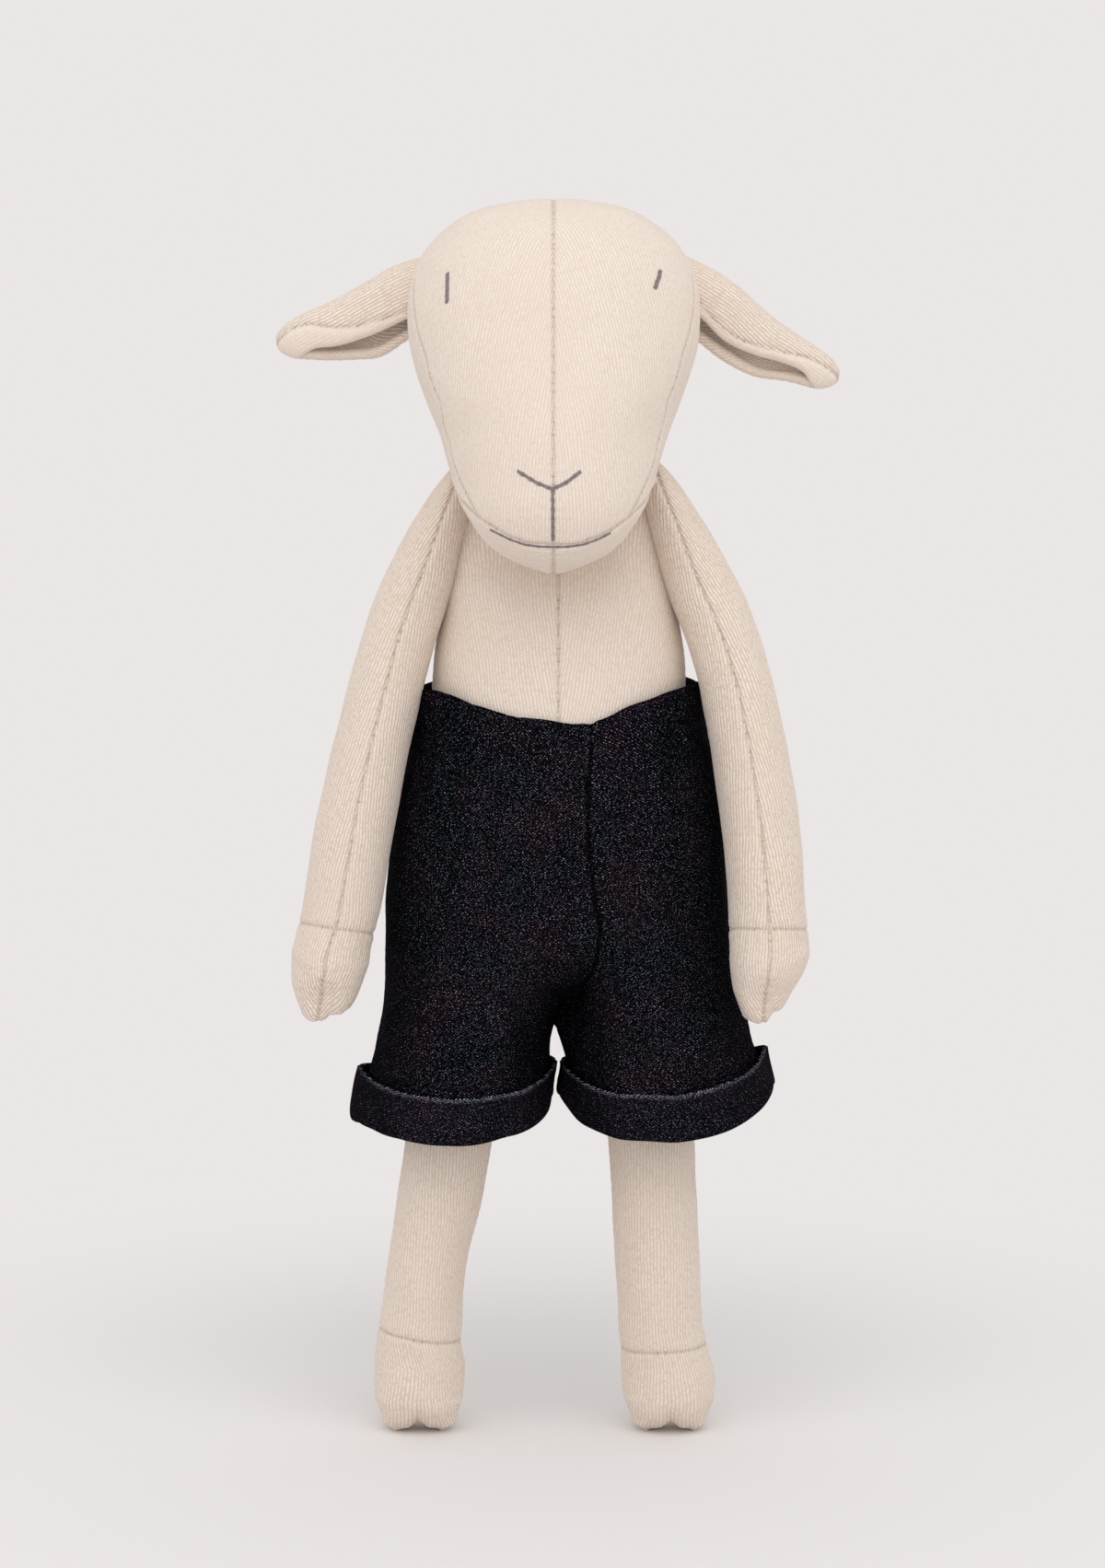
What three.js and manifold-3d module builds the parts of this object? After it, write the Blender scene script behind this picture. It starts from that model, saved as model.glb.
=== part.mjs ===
// A stuffed velour sheep that stands on its cloven feet, in loose denim shorts with turned-up legs.
// Millimetres, +Z up, the face towards -Y. Left and right are the sheep's own, so its left side is at +X.
import * as THREE from "three";
import { mergeVertices } from "three/addons/utils/BufferGeometryUtils.js";
import Module from "manifold-3d";

const wasm = await Module();
wasm.setup();

// Cloth and seams
const coverThickness = 1.4; // velour with its nap
const denimThickness = 1.1;
const seamGap = 0.3; // between two pieces that are sewn edge to edge
const fillGap = 0.4; // between a cover and the filling inside it
const joinGap = 0.3; // between one stuffed part and the next
const cutOverrun = 5; // how far a cutter reaches past what it cuts

// Legs, whose round tops roll in the shorts below the body
const leg = {
  width: 32,
  thickness: 31,
  hipHeight: 172.5, // hip hinge above the floor
  hipSpacing: 62.5, // between the two hips
  hoofLength: { left: 34, right: 39 }, // from its seam to the floor, sewn higher on one leg
  cleftDepth: 4.5,
  cornerRise: 14, // how far the outer corners of a hoof sit above its two lobes
  tipRound: 15, // length over which the hoof closes to its edge
  footCut: 0.5, // depth of the flat that the foot stands on
  leanDegrees: { left: 2.9, right: 8.6 },
};

// Body, a pear with its seam along the bottom
const torso = {
  width: 100,
  thickness: 76,
  height: 158, // up to the sides of its collar
  collarRise: 5, // behind
  collarFall: 15, // in front
  cornerRise: 1, // of the bottom seam's ends
  tipRound: 30,
};

// Neck, a stuffed stub with a ball end that the head is sewn round
const neck = {
  ballRadius: 15,
  stubRadius: 11,
  ballRise: 13, // of the ball's middle above the collar
  room: 0.7, // round the ball, in the head
  nodDegrees: 16, // swing that the head's hollow leaves the stub
};

// Head, lofted from level slices from the crown down to the chin
const head = {
  height: 130,
  width: 106,
  reach: 69, // from the neck's line to the nose
  backReach: 46,
  crownHeight: 456.5,
  aside: 1.8, // to the sheep's right
};

// Arms
const arm = {
  width: 30.5,
  thickness: 28.5,
  hoofLength: 35,
  cleftDepth: 4,
  cornerRise: 9,
  topRound: 9,
  tipRound: 17,
  drop: 197, // from the top of the shoulder to the tip of the hoof
  forward: { left: 34, right: 30 }, // of the tip from the shoulder
  shoulderX: 37.6,
  shoulderHeight: 356.5, // top of the arm
  outward: { left: 38.5, right: 47 },
};

// Ears, each a leaf folded along its length with the fold behind
const ear = {
  length: 58,
  height: 29, // of the folded ear near its root
  depth: 15,
  sheetThickness: 4.6, // both layers
  rootX: 44,
  rootBack: 9, // behind the head's middle line
  rootDrop: 37, // below the crown
  forward: 4,
  droopDegrees: { left: 30, right: 15 },
  swingForwardDegrees: 35,
  swingBackDegrees: 20,
  rootRelief: 0.7, // room that the swinging root keeps from the head
};

// Shorts and their turn-ups
const shorts = {
  waistWidth: 98,
  hipWidth: 122,
  hipDepth: 86,
  hemReach: { left: 76.5, right: 71 }, // from the middle to the outer side
  hemDepth: 72,
  waistHeight: 283, // at the sides
  waistDip: 13, // at the front
  crotchHeight: 154,
  crotchDepth: 38, // height over which the seat parts into two legs
  hemHeight: 118, // in front
  hemRise: { left: 12, right: 2.5 }, // of the hem at the outer side
  innerHemRise: 9,
  legGap: 7, // between the two legs above the turn-ups
  crotchGap: 2.8,
  turnUpHeight: 17,
  turnUpThickness: 1.7,
  turnUpFlare: 2, // outwards, at the top of the outer side
  twistDegrees: 14, // how far the shorts have slipped round the body
};

// Where along a form its end starts to rise at the corners
const hoofRiseShare = 0.88;
const seatRiseShare = 0.8;
const cleftWidthShare = 0.3; // of a hoof's half width
const collarShare = 0.3; // of the body's length, over which its collar's slope fades
const waistShare = 0.6; // of the body's length, where its rows start to close up
const legPartShares = [0.7, 0.85]; // of the shorts' length, over which their legs draw apart

// Shares of a form's length, width and thickness, top to tip
const legGirthShares = [
  [0, 0.97, 1],
  [0.3, 1, 1],
  [0.6, 0.98, 1],
  [0.77, 0.97, 0.99],
  [0.805, 0.96, 0.97],
  [0.87, 1.08, 1],
  [0.94, 1.09, 0.98],
  [1, 1, 0.9],
];
const armGirthShares = [
  [0, 0.76, 0.32],
  [0.07, 0.85, 0.54],
  [0.14, 0.89, 0.77],
  [0.24, 0.92, 0.88],
  [0.4, 0.95, 0.92],
  [0.6, 0.98, 0.97],
  [0.8, 1, 1],
  [0.827, 0.97, 0.97],
  [0.88, 1.07, 1],
  [0.94, 1.02, 0.97],
  [1, 0.66, 0.9],
];
const torsoGirthShares = [
  [0, 0.48, 0.44],
  [0.04, 0.67, 0.53],
  [0.1, 0.72, 0.62],
  [0.25, 0.77, 0.76],
  [0.4, 0.88, 0.88],
  [0.55, 0.96, 0.97],
  [0.7, 1, 1],
  [0.85, 0.99, 1],
  [1, 0.8, 0.9],
];
// Spines of the arms: shares of the outward reach and of the drop
const armSpineShares = {
  right: [
    [0, 0],
    [0.1, 0.074],
    [0.194, 0.143],
    [0.33, 0.227],
    [0.45, 0.31],
    [0.56, 0.41],
    [0.75, 0.61],
    [0.89, 0.81],
    [1, 1],
  ],
  left: [
    [0, 0],
    [0.11, 0.074],
    [0.235, 0.143],
    [0.42, 0.227],
    [0.6, 0.31],
    [0.73, 0.41],
    [0.9, 0.61],
    [0.99, 0.81],
    [0.93, 1],
  ],
};
// Head slices: shares of its height, half width, reach in front and reach behind
const headSliceShares = [
  [0, 0, -0.04, 0.06],
  [0.037, 0.54, 0.28, 0.57],
  [0.09, 0.74, 0.43, 0.78],
  [0.19, 0.935, 0.58, 0.94],
  [0.33, 1, 0.71, 1],
  [0.48, 0.94, 0.83, 0.91],
  [0.6, 0.81, 0.92, 0.69],
  [0.72, 0.715, 0.98, 0.3],
  [0.82, 0.62, 1, -0.22],
  [0.9, 0.49, 0.955, -0.52],
  [0.96, 0.32, 0.86, -0.75],
  [1, 0, 0.69, -1.035],
];
// The seam round the face: degrees from the front against the share of the way down the slices
const cheekSeamShares = [
  [0, 110],
  [0.2, 100],
  [0.3, 80],
  [0.36, 68],
  [0.43, 62],
  [0.5, 61],
  [0.58, 67],
  [0.66, 67],
  [0.76, 58],
];
// The seam under the face, the mouth in front: shares of half a turn from the front, and of the way down
const mouthSeamShares = [
  [0, 0.835],
  [0.12, 0.83],
  [0.22, 0.8],
  [0.322, 0.76],
  [0.45, 0.715],
  [0.6, 0.665],
  [0.8, 0.618],
  [1, 0.6],
];
// A folded ear from root to tip: shares of its height, depth and bend
const earShares = [
  [0, 0.93, 0.95, 1],
  [0.2, 1, 1, 1],
  [0.45, 0.93, 0.95, 0.97],
  [0.7, 0.68, 0.8, 0.9],
  [0.88, 0.45, 0.66, 0.8],
  [1, 0.27, 0.5, 0.7],
];
const earEdgeDegrees = { upper: 172, lower: -112 }; // round from the back, up and over
// Shorts from waist to hem: how far the width has gone from the waist's to the hip's, and on to the hem's
const shortsFlareShares = [
  [0, 0, 0],
  [0.2, 0.55, 0],
  [0.4, 0.9, 0],
  [0.55, 1, 0.08],
  [0.7, 1, 0.28],
  [0.85, 1, 0.65],
  [1, 1, 1],
];

// Embroidery: the middle of the face is at 0 degrees, and shares run down the head's slices
const thread = {
  lift: 0.35, // above the cloth
  height: 0.7,
  eyeWidth: 2,
  noseWidth: 1.8,
  mouthWidth: 1.9,
};
const eyeShares = {
  right: { top: 0.285, bottom: 0.345, topDegrees: 48, bottomDegrees: 47 },
  left: { top: 0.28, bottom: 0.325, topDegrees: 48, bottomDegrees: 45 },
};
const noseShares = { wing: 0.64, fork: 0.68, lip: 0.815, wingDegrees: 19, forkDegrees: 1.5 };

// How many steps each grid takes
const facets = {
  limbPanel: 6,
  limbRows: 9,
  hoofRows: 6,
  torsoPanel: 5,
  collarRows: 5,
  torsoRows: 6,
  headRows: 9,
  chinRows: 4,
  facePanel: 5,
  sidePanel: 6,
  ball: 16,
  ballRows: 8,
  threadRows: 4,
  earRows: 6,
  earAcross: 9,
  shortsAcross: 7,
  shortsRows: 11,
  turnUpRows: 2,
};

const velourColor = "#e9d6c3";
const denimColor = "#1b1b21";
const threadColor = "#85746c";

const sides = { left: 1, right: -1 };
const radians = THREE.MathUtils.degToRad;
const mix = THREE.MathUtils.lerp;
const smooth = THREE.MathUtils.smoothstep;

// Every step from one value to another, both ends included
function steps(from, to, count) {
  return Array.from({ length: count + 1 }, (_, i) => mix(from, to, i / count));
}

// A table's columns at a value of its first one, on a smooth curve through the rows
function tableAt(table, value) {
  const last = table.length - 1;
  let i = 0;
  while (i < last - 1 && value > table[i + 1][0]) i++;
  const t = THREE.MathUtils.clamp((value - table[i][0]) / (table[i + 1][0] - table[i][0]), 0, 1);
  const slope = (j, column) => {
    const before = table[Math.max(j - 1, 0)];
    const after = table[Math.min(j + 1, last)];
    return (after[column] - before[column]) / (after[0] - before[0]);
  };
  const span = table[i + 1][0] - table[i][0];
  return table[i].slice(1).map((a, c) => {
    const b = table[i + 1][c + 1];
    const leave = slope(i, c + 1) * span;
    const arrive = slope(i + 1, c + 1) * span;
    const before = a * (1 + 2 * t) + leave * t;
    const after = b * (3 - 2 * t) - arrive * (1 - t);
    return before * (1 - t) ** 2 + after * t ** 2;
  });
}

// A geometry from loose triangles, turned to face out, with the ones that have closed up left out
function geometryOf(triangles) {
  const open = triangles.filter(([a, b, c]) => !a.equals(b) && !b.equals(c) && !c.equals(a));
  const volume = open.reduce((sum, [a, b, c]) => sum + a.dot(new THREE.Vector3().crossVectors(b, c)), 0);
  const points = open.flatMap(([a, b, c]) => (volume < 0 ? [a, c, b] : [a, b, c]));
  return mergeVertices(new THREE.BufferGeometry().setFromPoints(points));
}

// Two triangles on the shorter diagonal
function quad(a, b, c, d) {
  const alongAC = [
    [a, b, c],
    [a, c, d],
  ];
  const alongBD = [
    [a, b, d],
    [b, c, d],
  ];
  return a.distanceTo(c) < b.distanceTo(d) ? alongAC : alongBD;
}

// A cloth piece: the solid between its outer and inner grids, walled round the four edges
function clothBetween(outer, inner) {
  const rows = outer.length - 1;
  const columns = outer[0].length - 1;
  const triangles = [];
  for (let r = 0; r < rows; r++)
    for (let c = 0; c < columns; c++) {
      triangles.push(...quad(outer[r][c], outer[r][c + 1], outer[r + 1][c + 1], outer[r + 1][c]));
      triangles.push(...quad(inner[r][c], inner[r + 1][c], inner[r + 1][c + 1], inner[r][c + 1]));
    }
  for (let c = 0; c < columns; c++) {
    triangles.push(...quad(outer[0][c + 1], outer[0][c], inner[0][c], inner[0][c + 1]));
    triangles.push(...quad(outer[rows][c], outer[rows][c + 1], inner[rows][c + 1], inner[rows][c]));
  }
  for (let r = 0; r < rows; r++) {
    triangles.push(...quad(outer[r][0], outer[r + 1][0], inner[r + 1][0], inner[r][0]));
    triangles.push(...quad(outer[r + 1][columns], outer[r][columns], inner[r][columns], inner[r + 1][columns]));
  }
  return geometryOf(triangles);
}

// A filling: the solid inside closed rings, capped where an end is open
function fillingInside(rings) {
  const triangles = [];
  const count = rings[0].length;
  for (let r = 0; r < rings.length - 1; r++)
    for (let c = 0; c < count; c++) {
      const next = (c + 1) % count;
      triangles.push(...quad(rings[r][c], rings[r][next], rings[r + 1][next], rings[r + 1][c]));
    }
  const open = (ring) => !ring.every((p) => p.equals(ring[0]));
  const middle = (ring) => ring.reduce((sum, p) => sum.add(p), new THREE.Vector3()).divideScalar(count);
  const cap = (ring, turned) => {
    const centre = middle(ring);
    ring.forEach((p, c) => {
      const q = ring[(c + 1) % count];
      triangles.push(turned ? [centre, q, p] : [centre, p, q]);
    });
  };
  if (open(rings[0])) cap(rings[0], true);
  if (open(rings[rings.length - 1])) cap(rings[rings.length - 1], false);
  return geometryOf(triangles);
}

function solidOf(geometry) {
  const bare = geometry.clone();
  Object.keys(bare.attributes)
    .filter((name) => name !== "position")
    .forEach((name) => bare.deleteAttribute(name));
  const merged = mergeVertices(bare);
  const mesh = { numProp: 3, vertProperties: merged.attributes.position.array };
  return new wasm.Manifold(new wasm.Mesh({ ...mesh, triVerts: new Uint32Array(merged.index.array) }));
}

function geometryFrom(solid) {
  const mesh = solid.getMesh();
  const positions = new Float32Array(mesh.numVert * 3);
  for (let i = 0; i < mesh.numVert; i++)
    positions.set(mesh.vertProperties.subarray(i * mesh.numProp, i * mesh.numProp + 3), i * 3);
  return new THREE.BufferGeometry()
    .setAttribute("position", new THREE.BufferAttribute(positions, 3))
    .setIndex(new THREE.BufferAttribute(mesh.triVerts, 1));
}

// A geometry less what each cutter takes from it
function cutBy(geometry, cutters) {
  const whole = solidOf(geometry);
  return geometryFrom(cutters.reduce((solid, cutter) => solid.subtract(solidOf(cutter)), whole));
}

// A geometry turned about a line
function turned(geometry, axis, through, degrees) {
  const back = new THREE.Matrix4().makeTranslation(through.clone().negate());
  const turn = new THREE.Matrix4().makeRotationAxis(axis, radians(degrees));
  const there = new THREE.Matrix4().makeTranslation(through);
  return geometry.clone().applyMatrix4(back.premultiply(turn).premultiply(there));
}

// How far a rounded end has opened at a distance from its tip
function opened(distance, round) {
  return distance < round ? Math.sqrt(1 - (1 - distance / round) ** 2) : 1;
}

// A hoof's edge: how far each place across it, from -1 to 1, sits above the two lobes
function hoofRise(across, cleftDepth, cornerRise) {
  const cleft = cleftDepth * Math.exp(-((across / cleftWidthShare) ** 2));
  return cleft + cornerRise * Math.abs(across) ** 4;
}

// A point of a stuffed form before it is bent or placed: x across its width, y across its thickness, z down
// from its top. The angle goes round from one side seam over the front. An inset nests a surface inside the
// outer one.
function formPoint(form, s, angle, inset) {
  const [widthShare, thicknessShare] = tableAt(form.girthShares, s);
  const fromTop = s * form.length;
  const fromTip = (1 - s) * form.length;
  const top = form.topRound ? opened(fromTop, form.topRound) : 1;
  const tip = opened(fromTip, form.tipRound);
  const across = Math.cos(angle);
  const halfWidth = (form.width / 2 - inset) * widthShare * top;
  const halfThickness = (form.thickness / 2 - inset) * thicknessShare * top * tip;
  const rise = form.rise(across) * smooth(s, form.riseFrom, 1);
  const fall = form.fall ? form.fall(angle, s) : 0;
  const down = fromTop - rise + fall;
  const nested = form.topRound
    ? mix(form.length / 2, down, 1 - inset / (form.length / 2))
    : down * (1 - inset / form.length);
  return new THREE.Vector3(halfWidth * across, -halfThickness * Math.sin(angle), -nested);
}

// Shares down a form where its rows lie, closer together at a rounded end
function rowsToSeam(seam, count) {
  return steps(0, Math.PI / 2, count).map((a) => seam * (1 - Math.cos(a)));
}
function rowsToTip(seam, count) {
  return steps(0, 1, count).map((t) => mix(1, seam, (1 - t) ** 2));
}

// One cover panel of a form, between two angles and over some rows, placed by a function
function coverPanel(form, rows, angles, place) {
  const grid = (inset) => rows.map((s) => angles.map((a) => place(formPoint(form, s, a, inset))));
  return clothBetween(grid(0), grid(coverThickness));
}

function fillingOf(form, rows, angles, place) {
  const inset = coverThickness + fillGap;
  return fillingInside(rows.map((s) => angles.slice(0, -1).map((a) => place(formPoint(form, s, a, inset)))));
}

const group = new THREE.Group();
function addPiece(name, geometry, color = velourColor) {
  const material = new THREE.MeshStandardMaterial({ color, roughness: 0.95, metalness: 0 });
  const mesh = new THREE.Mesh(geometry, material);
  mesh.name = name;
  group.add(mesh);
}

// A limb's two long panels and two hoof panels, and the filling through both
function addLimb(names, form, seam, place) {
  const halfGap = seamGap / 2;
  const limbRows = rowsToSeam(seam - halfGap / form.length, facets.limbRows);
  const hoofRows = rowsToTip(seam + halfGap / form.length, facets.hoofRows);
  const panels = { first: [0, Math.PI], second: [Math.PI, 2 * Math.PI] };
  for (const [panel, [from, to]] of Object.entries(panels)) {
    const shift = panel === "first" ? -halfGap : halfGap;
    const placed = (p) => place(p.add(new THREE.Vector3(0, shift, 0)));
    const angles = steps(from, to, facets.limbPanel);
    addPiece(names.limb[panel], coverPanel(form, limbRows, angles, placed));
    addPiece(names.hoof[panel], names.trim(coverPanel(form, hoofRows, angles, placed)));
  }
  const rows = [...limbRows, ...hoofRows];
  addPiece(names.filling, fillingOf(form, rows, steps(0, 2 * Math.PI, 2 * facets.limbPanel), place));
}

// Legs: straight, leaning out from the hips to the floor, and cut flat where they stand
function addLeg(name, side) {
  const lean = radians(leg.leanDegrees[name]);
  const topRound = leg.thickness / 2;
  const formOf = (length) => ({
    length,
    width: leg.width,
    thickness: leg.thickness,
    girthShares: legGirthShares,
    topRound,
    tipRound: leg.tipRound,
    rise: (across) => {
      const levelled = (side * across * leg.width * Math.tan(lean)) / 2; // both lobes stand on the floor
      return hoofRise(across, leg.cleftDepth, leg.cornerRise) - levelled;
    },
    riseFrom: hoofRiseShare,
  });
  const hip = new THREE.Vector3((side * leg.hipSpacing) / 2, 0, leg.hipHeight);
  const place = (p) => {
    p.z += topRound;
    return p.applyAxisAngle(new THREE.Vector3(0, 1, 0), -side * lean).add(hip);
  };
  const straight = formOf(topRound + leg.hipHeight);
  const edge = steps(0, Math.PI, facets.limbPanel * 2);
  const lobes = edge.map((angle) => place(formPoint(straight, 1, angle, 0)).z);
  const form = formOf(straight.length + (Math.min(...lobes) + leg.footCut) / Math.cos(lean));
  const floor = new THREE.BoxGeometry(4 * leg.hipSpacing, 4 * leg.thickness, 2 * cutOverrun);
  floor.translate(0, 0, -cutOverrun);
  const names = {
    limb: { first: `leg_front_${name}`, second: `leg_back_${name}` },
    hoof: { first: `foot_hoof_front_${name}`, second: `foot_hoof_back_${name}` },
    filling: `leg_filling_${name}`,
    trim: (geometry) => cutBy(geometry, [floor]),
  };
  addLimb(names, form, 1 - leg.hoofLength[name] / form.length, place);
}

// Arms: bent along a spine that leaves the shoulder outwards and then hangs, seams in front and behind
function addArm(name, side) {
  const [top, tip] = [arm.shoulderHeight, arm.shoulderHeight - arm.drop];
  const spine = new THREE.CatmullRomCurve3(
    armSpineShares[name].map(([out, down]) => {
      const y = -arm.forward[name] * down;
      return new THREE.Vector3(side * (arm.shoulderX + out * arm.outward[name]), y, mix(top, tip, down));
    }),
  );
  const length = spine.getLength();
  const form = {
    length,
    width: arm.width,
    thickness: arm.thickness,
    girthShares: armGirthShares,
    topRound: arm.topRound,
    tipRound: arm.tipRound,
    rise: (across) => hoofRise(across, arm.cleftDepth, arm.cornerRise),
    riseFrom: hoofRiseShare,
  };
  const place = (p) => {
    const along = THREE.MathUtils.clamp(-p.z / length, 0, 1);
    const tangent = spine.getTangentAt(along);
    const outward = new THREE.Vector3(0, -side, 0).cross(tangent).normalize();
    const frontward = new THREE.Vector3().crossVectors(tangent, outward).normalize();
    const at = spine.getPointAt(along);
    return at.addScaledVector(outward, -p.y).addScaledVector(frontward, side * p.x);
  };
  const names = {
    limb: { first: `arm_outer_${name}`, second: `arm_inner_${name}` },
    hoof: { first: `hand_hoof_outer_${name}`, second: `hand_hoof_inner_${name}` },
    filling: `arm_filling_${name}`,
    trim: (geometry) => geometry,
  };
  addLimb(names, form, 1 - arm.hoofLength / length, place);
}

// Body: two chest panels with a seam down the middle, one back panel, and the filling
const torsoBottom = leg.hipHeight + leg.thickness / 2 + joinGap;
const torsoTop = torsoBottom + torso.height;
const torsoGirthAt = (z) => tableAt(torsoGirthShares, (torsoTop - z) / torso.height);
function addTorso() {
  const form = {
    length: torso.height,
    width: torso.width,
    thickness: torso.thickness,
    girthShares: torsoGirthShares,
    tipRound: torso.tipRound,
    rise: (across) => torso.cornerRise * Math.abs(across) ** 6,
    riseFrom: seatRiseShare,
    fall: (angle, s) => {
      const frontness = Math.sin(angle);
      const slope = frontness > 0 ? torso.collarFall : torso.collarRise;
      return frontness * slope * (1 - smooth(s, 0, collarShare));
    },
  };
  const place = (shiftX, shiftY) => (p) => p.add(new THREE.Vector3(shiftX, shiftY, torsoTop));
  const collarRows = steps(0, waistShare, facets.collarRows);
  const rows = [...collarRows, ...rowsToTip(waistShare, facets.torsoRows).slice(1)];
  const halfGap = seamGap / 2;
  const half = steps(0, Math.PI / 2, facets.torsoPanel);
  const otherHalf = steps(Math.PI / 2, Math.PI, facets.torsoPanel);
  const behind = steps(Math.PI, 2 * Math.PI, 2 * facets.torsoPanel);
  addPiece("chest_left", coverPanel(form, rows, half, place(halfGap, -halfGap)));
  addPiece("chest_right", coverPanel(form, rows, otherHalf, place(-halfGap, -halfGap)));
  addPiece("torso_back", coverPanel(form, rows, behind, place(0, halfGap)));
  const round = steps(0, 2 * Math.PI, 4 * facets.torsoPanel);
  const filling = fillingOf(form, rows, round, place(0, 0));
  addPiece("torso_filling", cutBy(filling, [neckGeometry(joinGap, neck.ballRise + joinGap, 0)]));
}

// Neck: a straight stub under a ball. Its room in the head is wider and flares down, as far as the head nods.
const neckBall = new THREE.Vector3(0, 0, torsoTop + joinGap + neck.ballRise);
function neckGeometry(grown, length, flare) {
  const ball = neck.ballRadius + grown;
  const stubAngle = Math.acos((neck.stubRadius + grown) / ball);
  const openAngle = flare - stubAngle;
  const [reach, rise] = [ball * Math.cos(openAngle), ball * Math.sin(openAngle)];
  const bottomRadius = reach + (rise + length) * Math.tan(flare);
  const profile = [new THREE.Vector2(0, -length), new THREE.Vector2(bottomRadius, -length)];
  for (const a of steps(openAngle, Math.PI / 2, facets.ballRows))
    profile.push(new THREE.Vector2(ball * Math.cos(a), ball * Math.sin(a)));
  profile[profile.length - 1].x = 0;
  const made = new THREE.LatheGeometry(profile, facets.ball).rotateX(Math.PI / 2);
  return made.translate(neckBall.x, neckBall.y, neckBall.z);
}

// A point of the head: the share down its slices, the degrees round from the face, and an inset
const headMiddle = new THREE.Vector3(
  -head.aside,
  (head.backReach - head.reach) / 2,
  head.crownHeight - head.height / 2,
);
function headPoint(down, degrees, inset) {
  const slot = down * (headSliceShares.length - 1);
  const rows = headSliceShares.map((row, i) => [i, ...row]);
  const [heightShare, widthShare, frontShare, backShare] = tableAt(rows, slot);
  const front = -frontShare * head.reach;
  const behind = backShare * head.backReach;
  const a = radians(degrees);
  const depth = heightShare <= 0 || heightShare >= 1 ? 0 : (behind - front) / 2;
  const point = new THREE.Vector3(
    widthShare * (head.width / 2) * Math.sin(a) - head.aside,
    (front + behind) / 2 - depth * Math.cos(a),
    head.crownHeight - heightShare * head.height,
  );
  const nest = new THREE.Vector3(head.width / 2, (head.reach + head.backReach) / 2, head.height / 2);
  const share = new THREE.Vector3(1, 1, 1).sub(new THREE.Vector3(inset, inset, inset).divide(nest));
  return point.sub(headMiddle).multiply(share).add(headMiddle);
}

const mouthSeam = (degrees) => tableAt(mouthSeamShares, degrees / 180)[0];
const cheekSeam = (down) => tableAt(cheekSeamShares, down)[0];
const mouthCorner = cheekSeamShares[cheekSeamShares.length - 1][1];

// Half a head as a grid of shares down and degrees round: from the crown to the seam under the face, and from
// there to the chin's end. The columns run from the middle of the face over the cheek seam to the back.
const headColumns = [
  ...steps(0, mouthCorner, facets.facePanel),
  ...steps(mouthCorner, 180, facets.sidePanel).slice(1),
];
const faceRows = steps(0, 1, facets.headRows).map((v) => {
  const edge = cheekSeam(v * mouthSeam(mouthCorner));
  return headColumns.map((degrees) => [
    v * mouthSeam(degrees),
    degrees < mouthCorner
      ? (degrees * edge) / mouthCorner
      : THREE.MathUtils.mapLinear(degrees, mouthCorner, 180, edge, 180),
  ]);
});
const chinRows = steps(0, 1, facets.chinRows).map((v) =>
  headColumns.map((degrees) => [mix(mouthSeam(degrees), 1, v), degrees]),
);

// One panel on a side of the head, moved to keep the seams' gaps
function headPanel(rows, side, shift) {
  const inOrder = side > 0 ? rows : rows.map((row) => [...row].reverse());
  const surface = (inset) =>
    inOrder.map((row) => row.map(([down, degrees]) => headPoint(down, side * degrees, inset).add(shift)));
  return clothBetween(surface(0), surface(coverThickness));
}

// The whole head as one solid, grown or shrunk a little
function headBlock(inset) {
  const rows = [...faceRows, ...chinRows.slice(1)];
  return fillingInside(
    rows.map((row) => [
      ...row.map(([down, degrees]) => headPoint(down, degrees, inset)),
      ...row.slice(1, -1).reverse().map(([down, degrees]) => headPoint(down, -degrees, inset)),
    ]),
  );
}

function addHead() {
  const neckRoom = neckGeometry(neck.room, head.height, radians(neck.nodDegrees));
  const halfGap = seamGap / 2;
  for (const [name, side] of Object.entries(sides)) {
    const face = faceRows.map((row) => row.slice(0, facets.facePanel + 1));
    const cheek = faceRows.map((row) => row.slice(facets.facePanel));
    addPiece(`face_${name}`, headPanel(face, side, new THREE.Vector3(side * halfGap, -halfGap, 0)));
    const cheekPanel = headPanel(cheek, side, new THREE.Vector3(side * halfGap, halfGap, 0));
    addPiece(`head_side_${name}`, cutBy(cheekPanel, [neckRoom]));
    const chinPanel = headPanel(chinRows, side, new THREE.Vector3(side * halfGap, -halfGap, -seamGap));
    addPiece(`chin_${name}`, cutBy(chinPanel, [neckRoom]));
  }
  addPiece("head_filling", cutBy(headBlock(coverThickness + fillGap), [neckRoom]));
}

// A raised line of thread along a path of shares down and degrees round the head
function threadAlong(path, width) {
  const smallShare = 0.001;
  const smallDegrees = 1;
  const rows = path.map(([down, degrees], i) => {
    const at = headPoint(down, degrees, 0);
    const [before, after] = [path[Math.max(i - 1, 0)], path[Math.min(i + 1, path.length - 1)]];
    const along = headPoint(...after, 0).sub(headPoint(...before, 0)).normalize();
    const downward = headPoint(down + smallShare, degrees, 0).sub(at);
    const round = headPoint(down, degrees + smallDegrees, 0).sub(at);
    const normal = new THREE.Vector3().crossVectors(downward, round).normalize();
    if (normal.y > 0) normal.negate();
    return { at, normal, across: new THREE.Vector3().crossVectors(normal, along) };
  });
  const grid = (lift) =>
    rows.map(({ at, normal, across }) =>
      [-width / 2, 0, width / 2].map((off) =>
        at.clone().addScaledVector(across, off).addScaledVector(normal, lift),
      ),
    );
  return clothBetween(grid(thread.lift + thread.height), grid(thread.lift));
}

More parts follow.
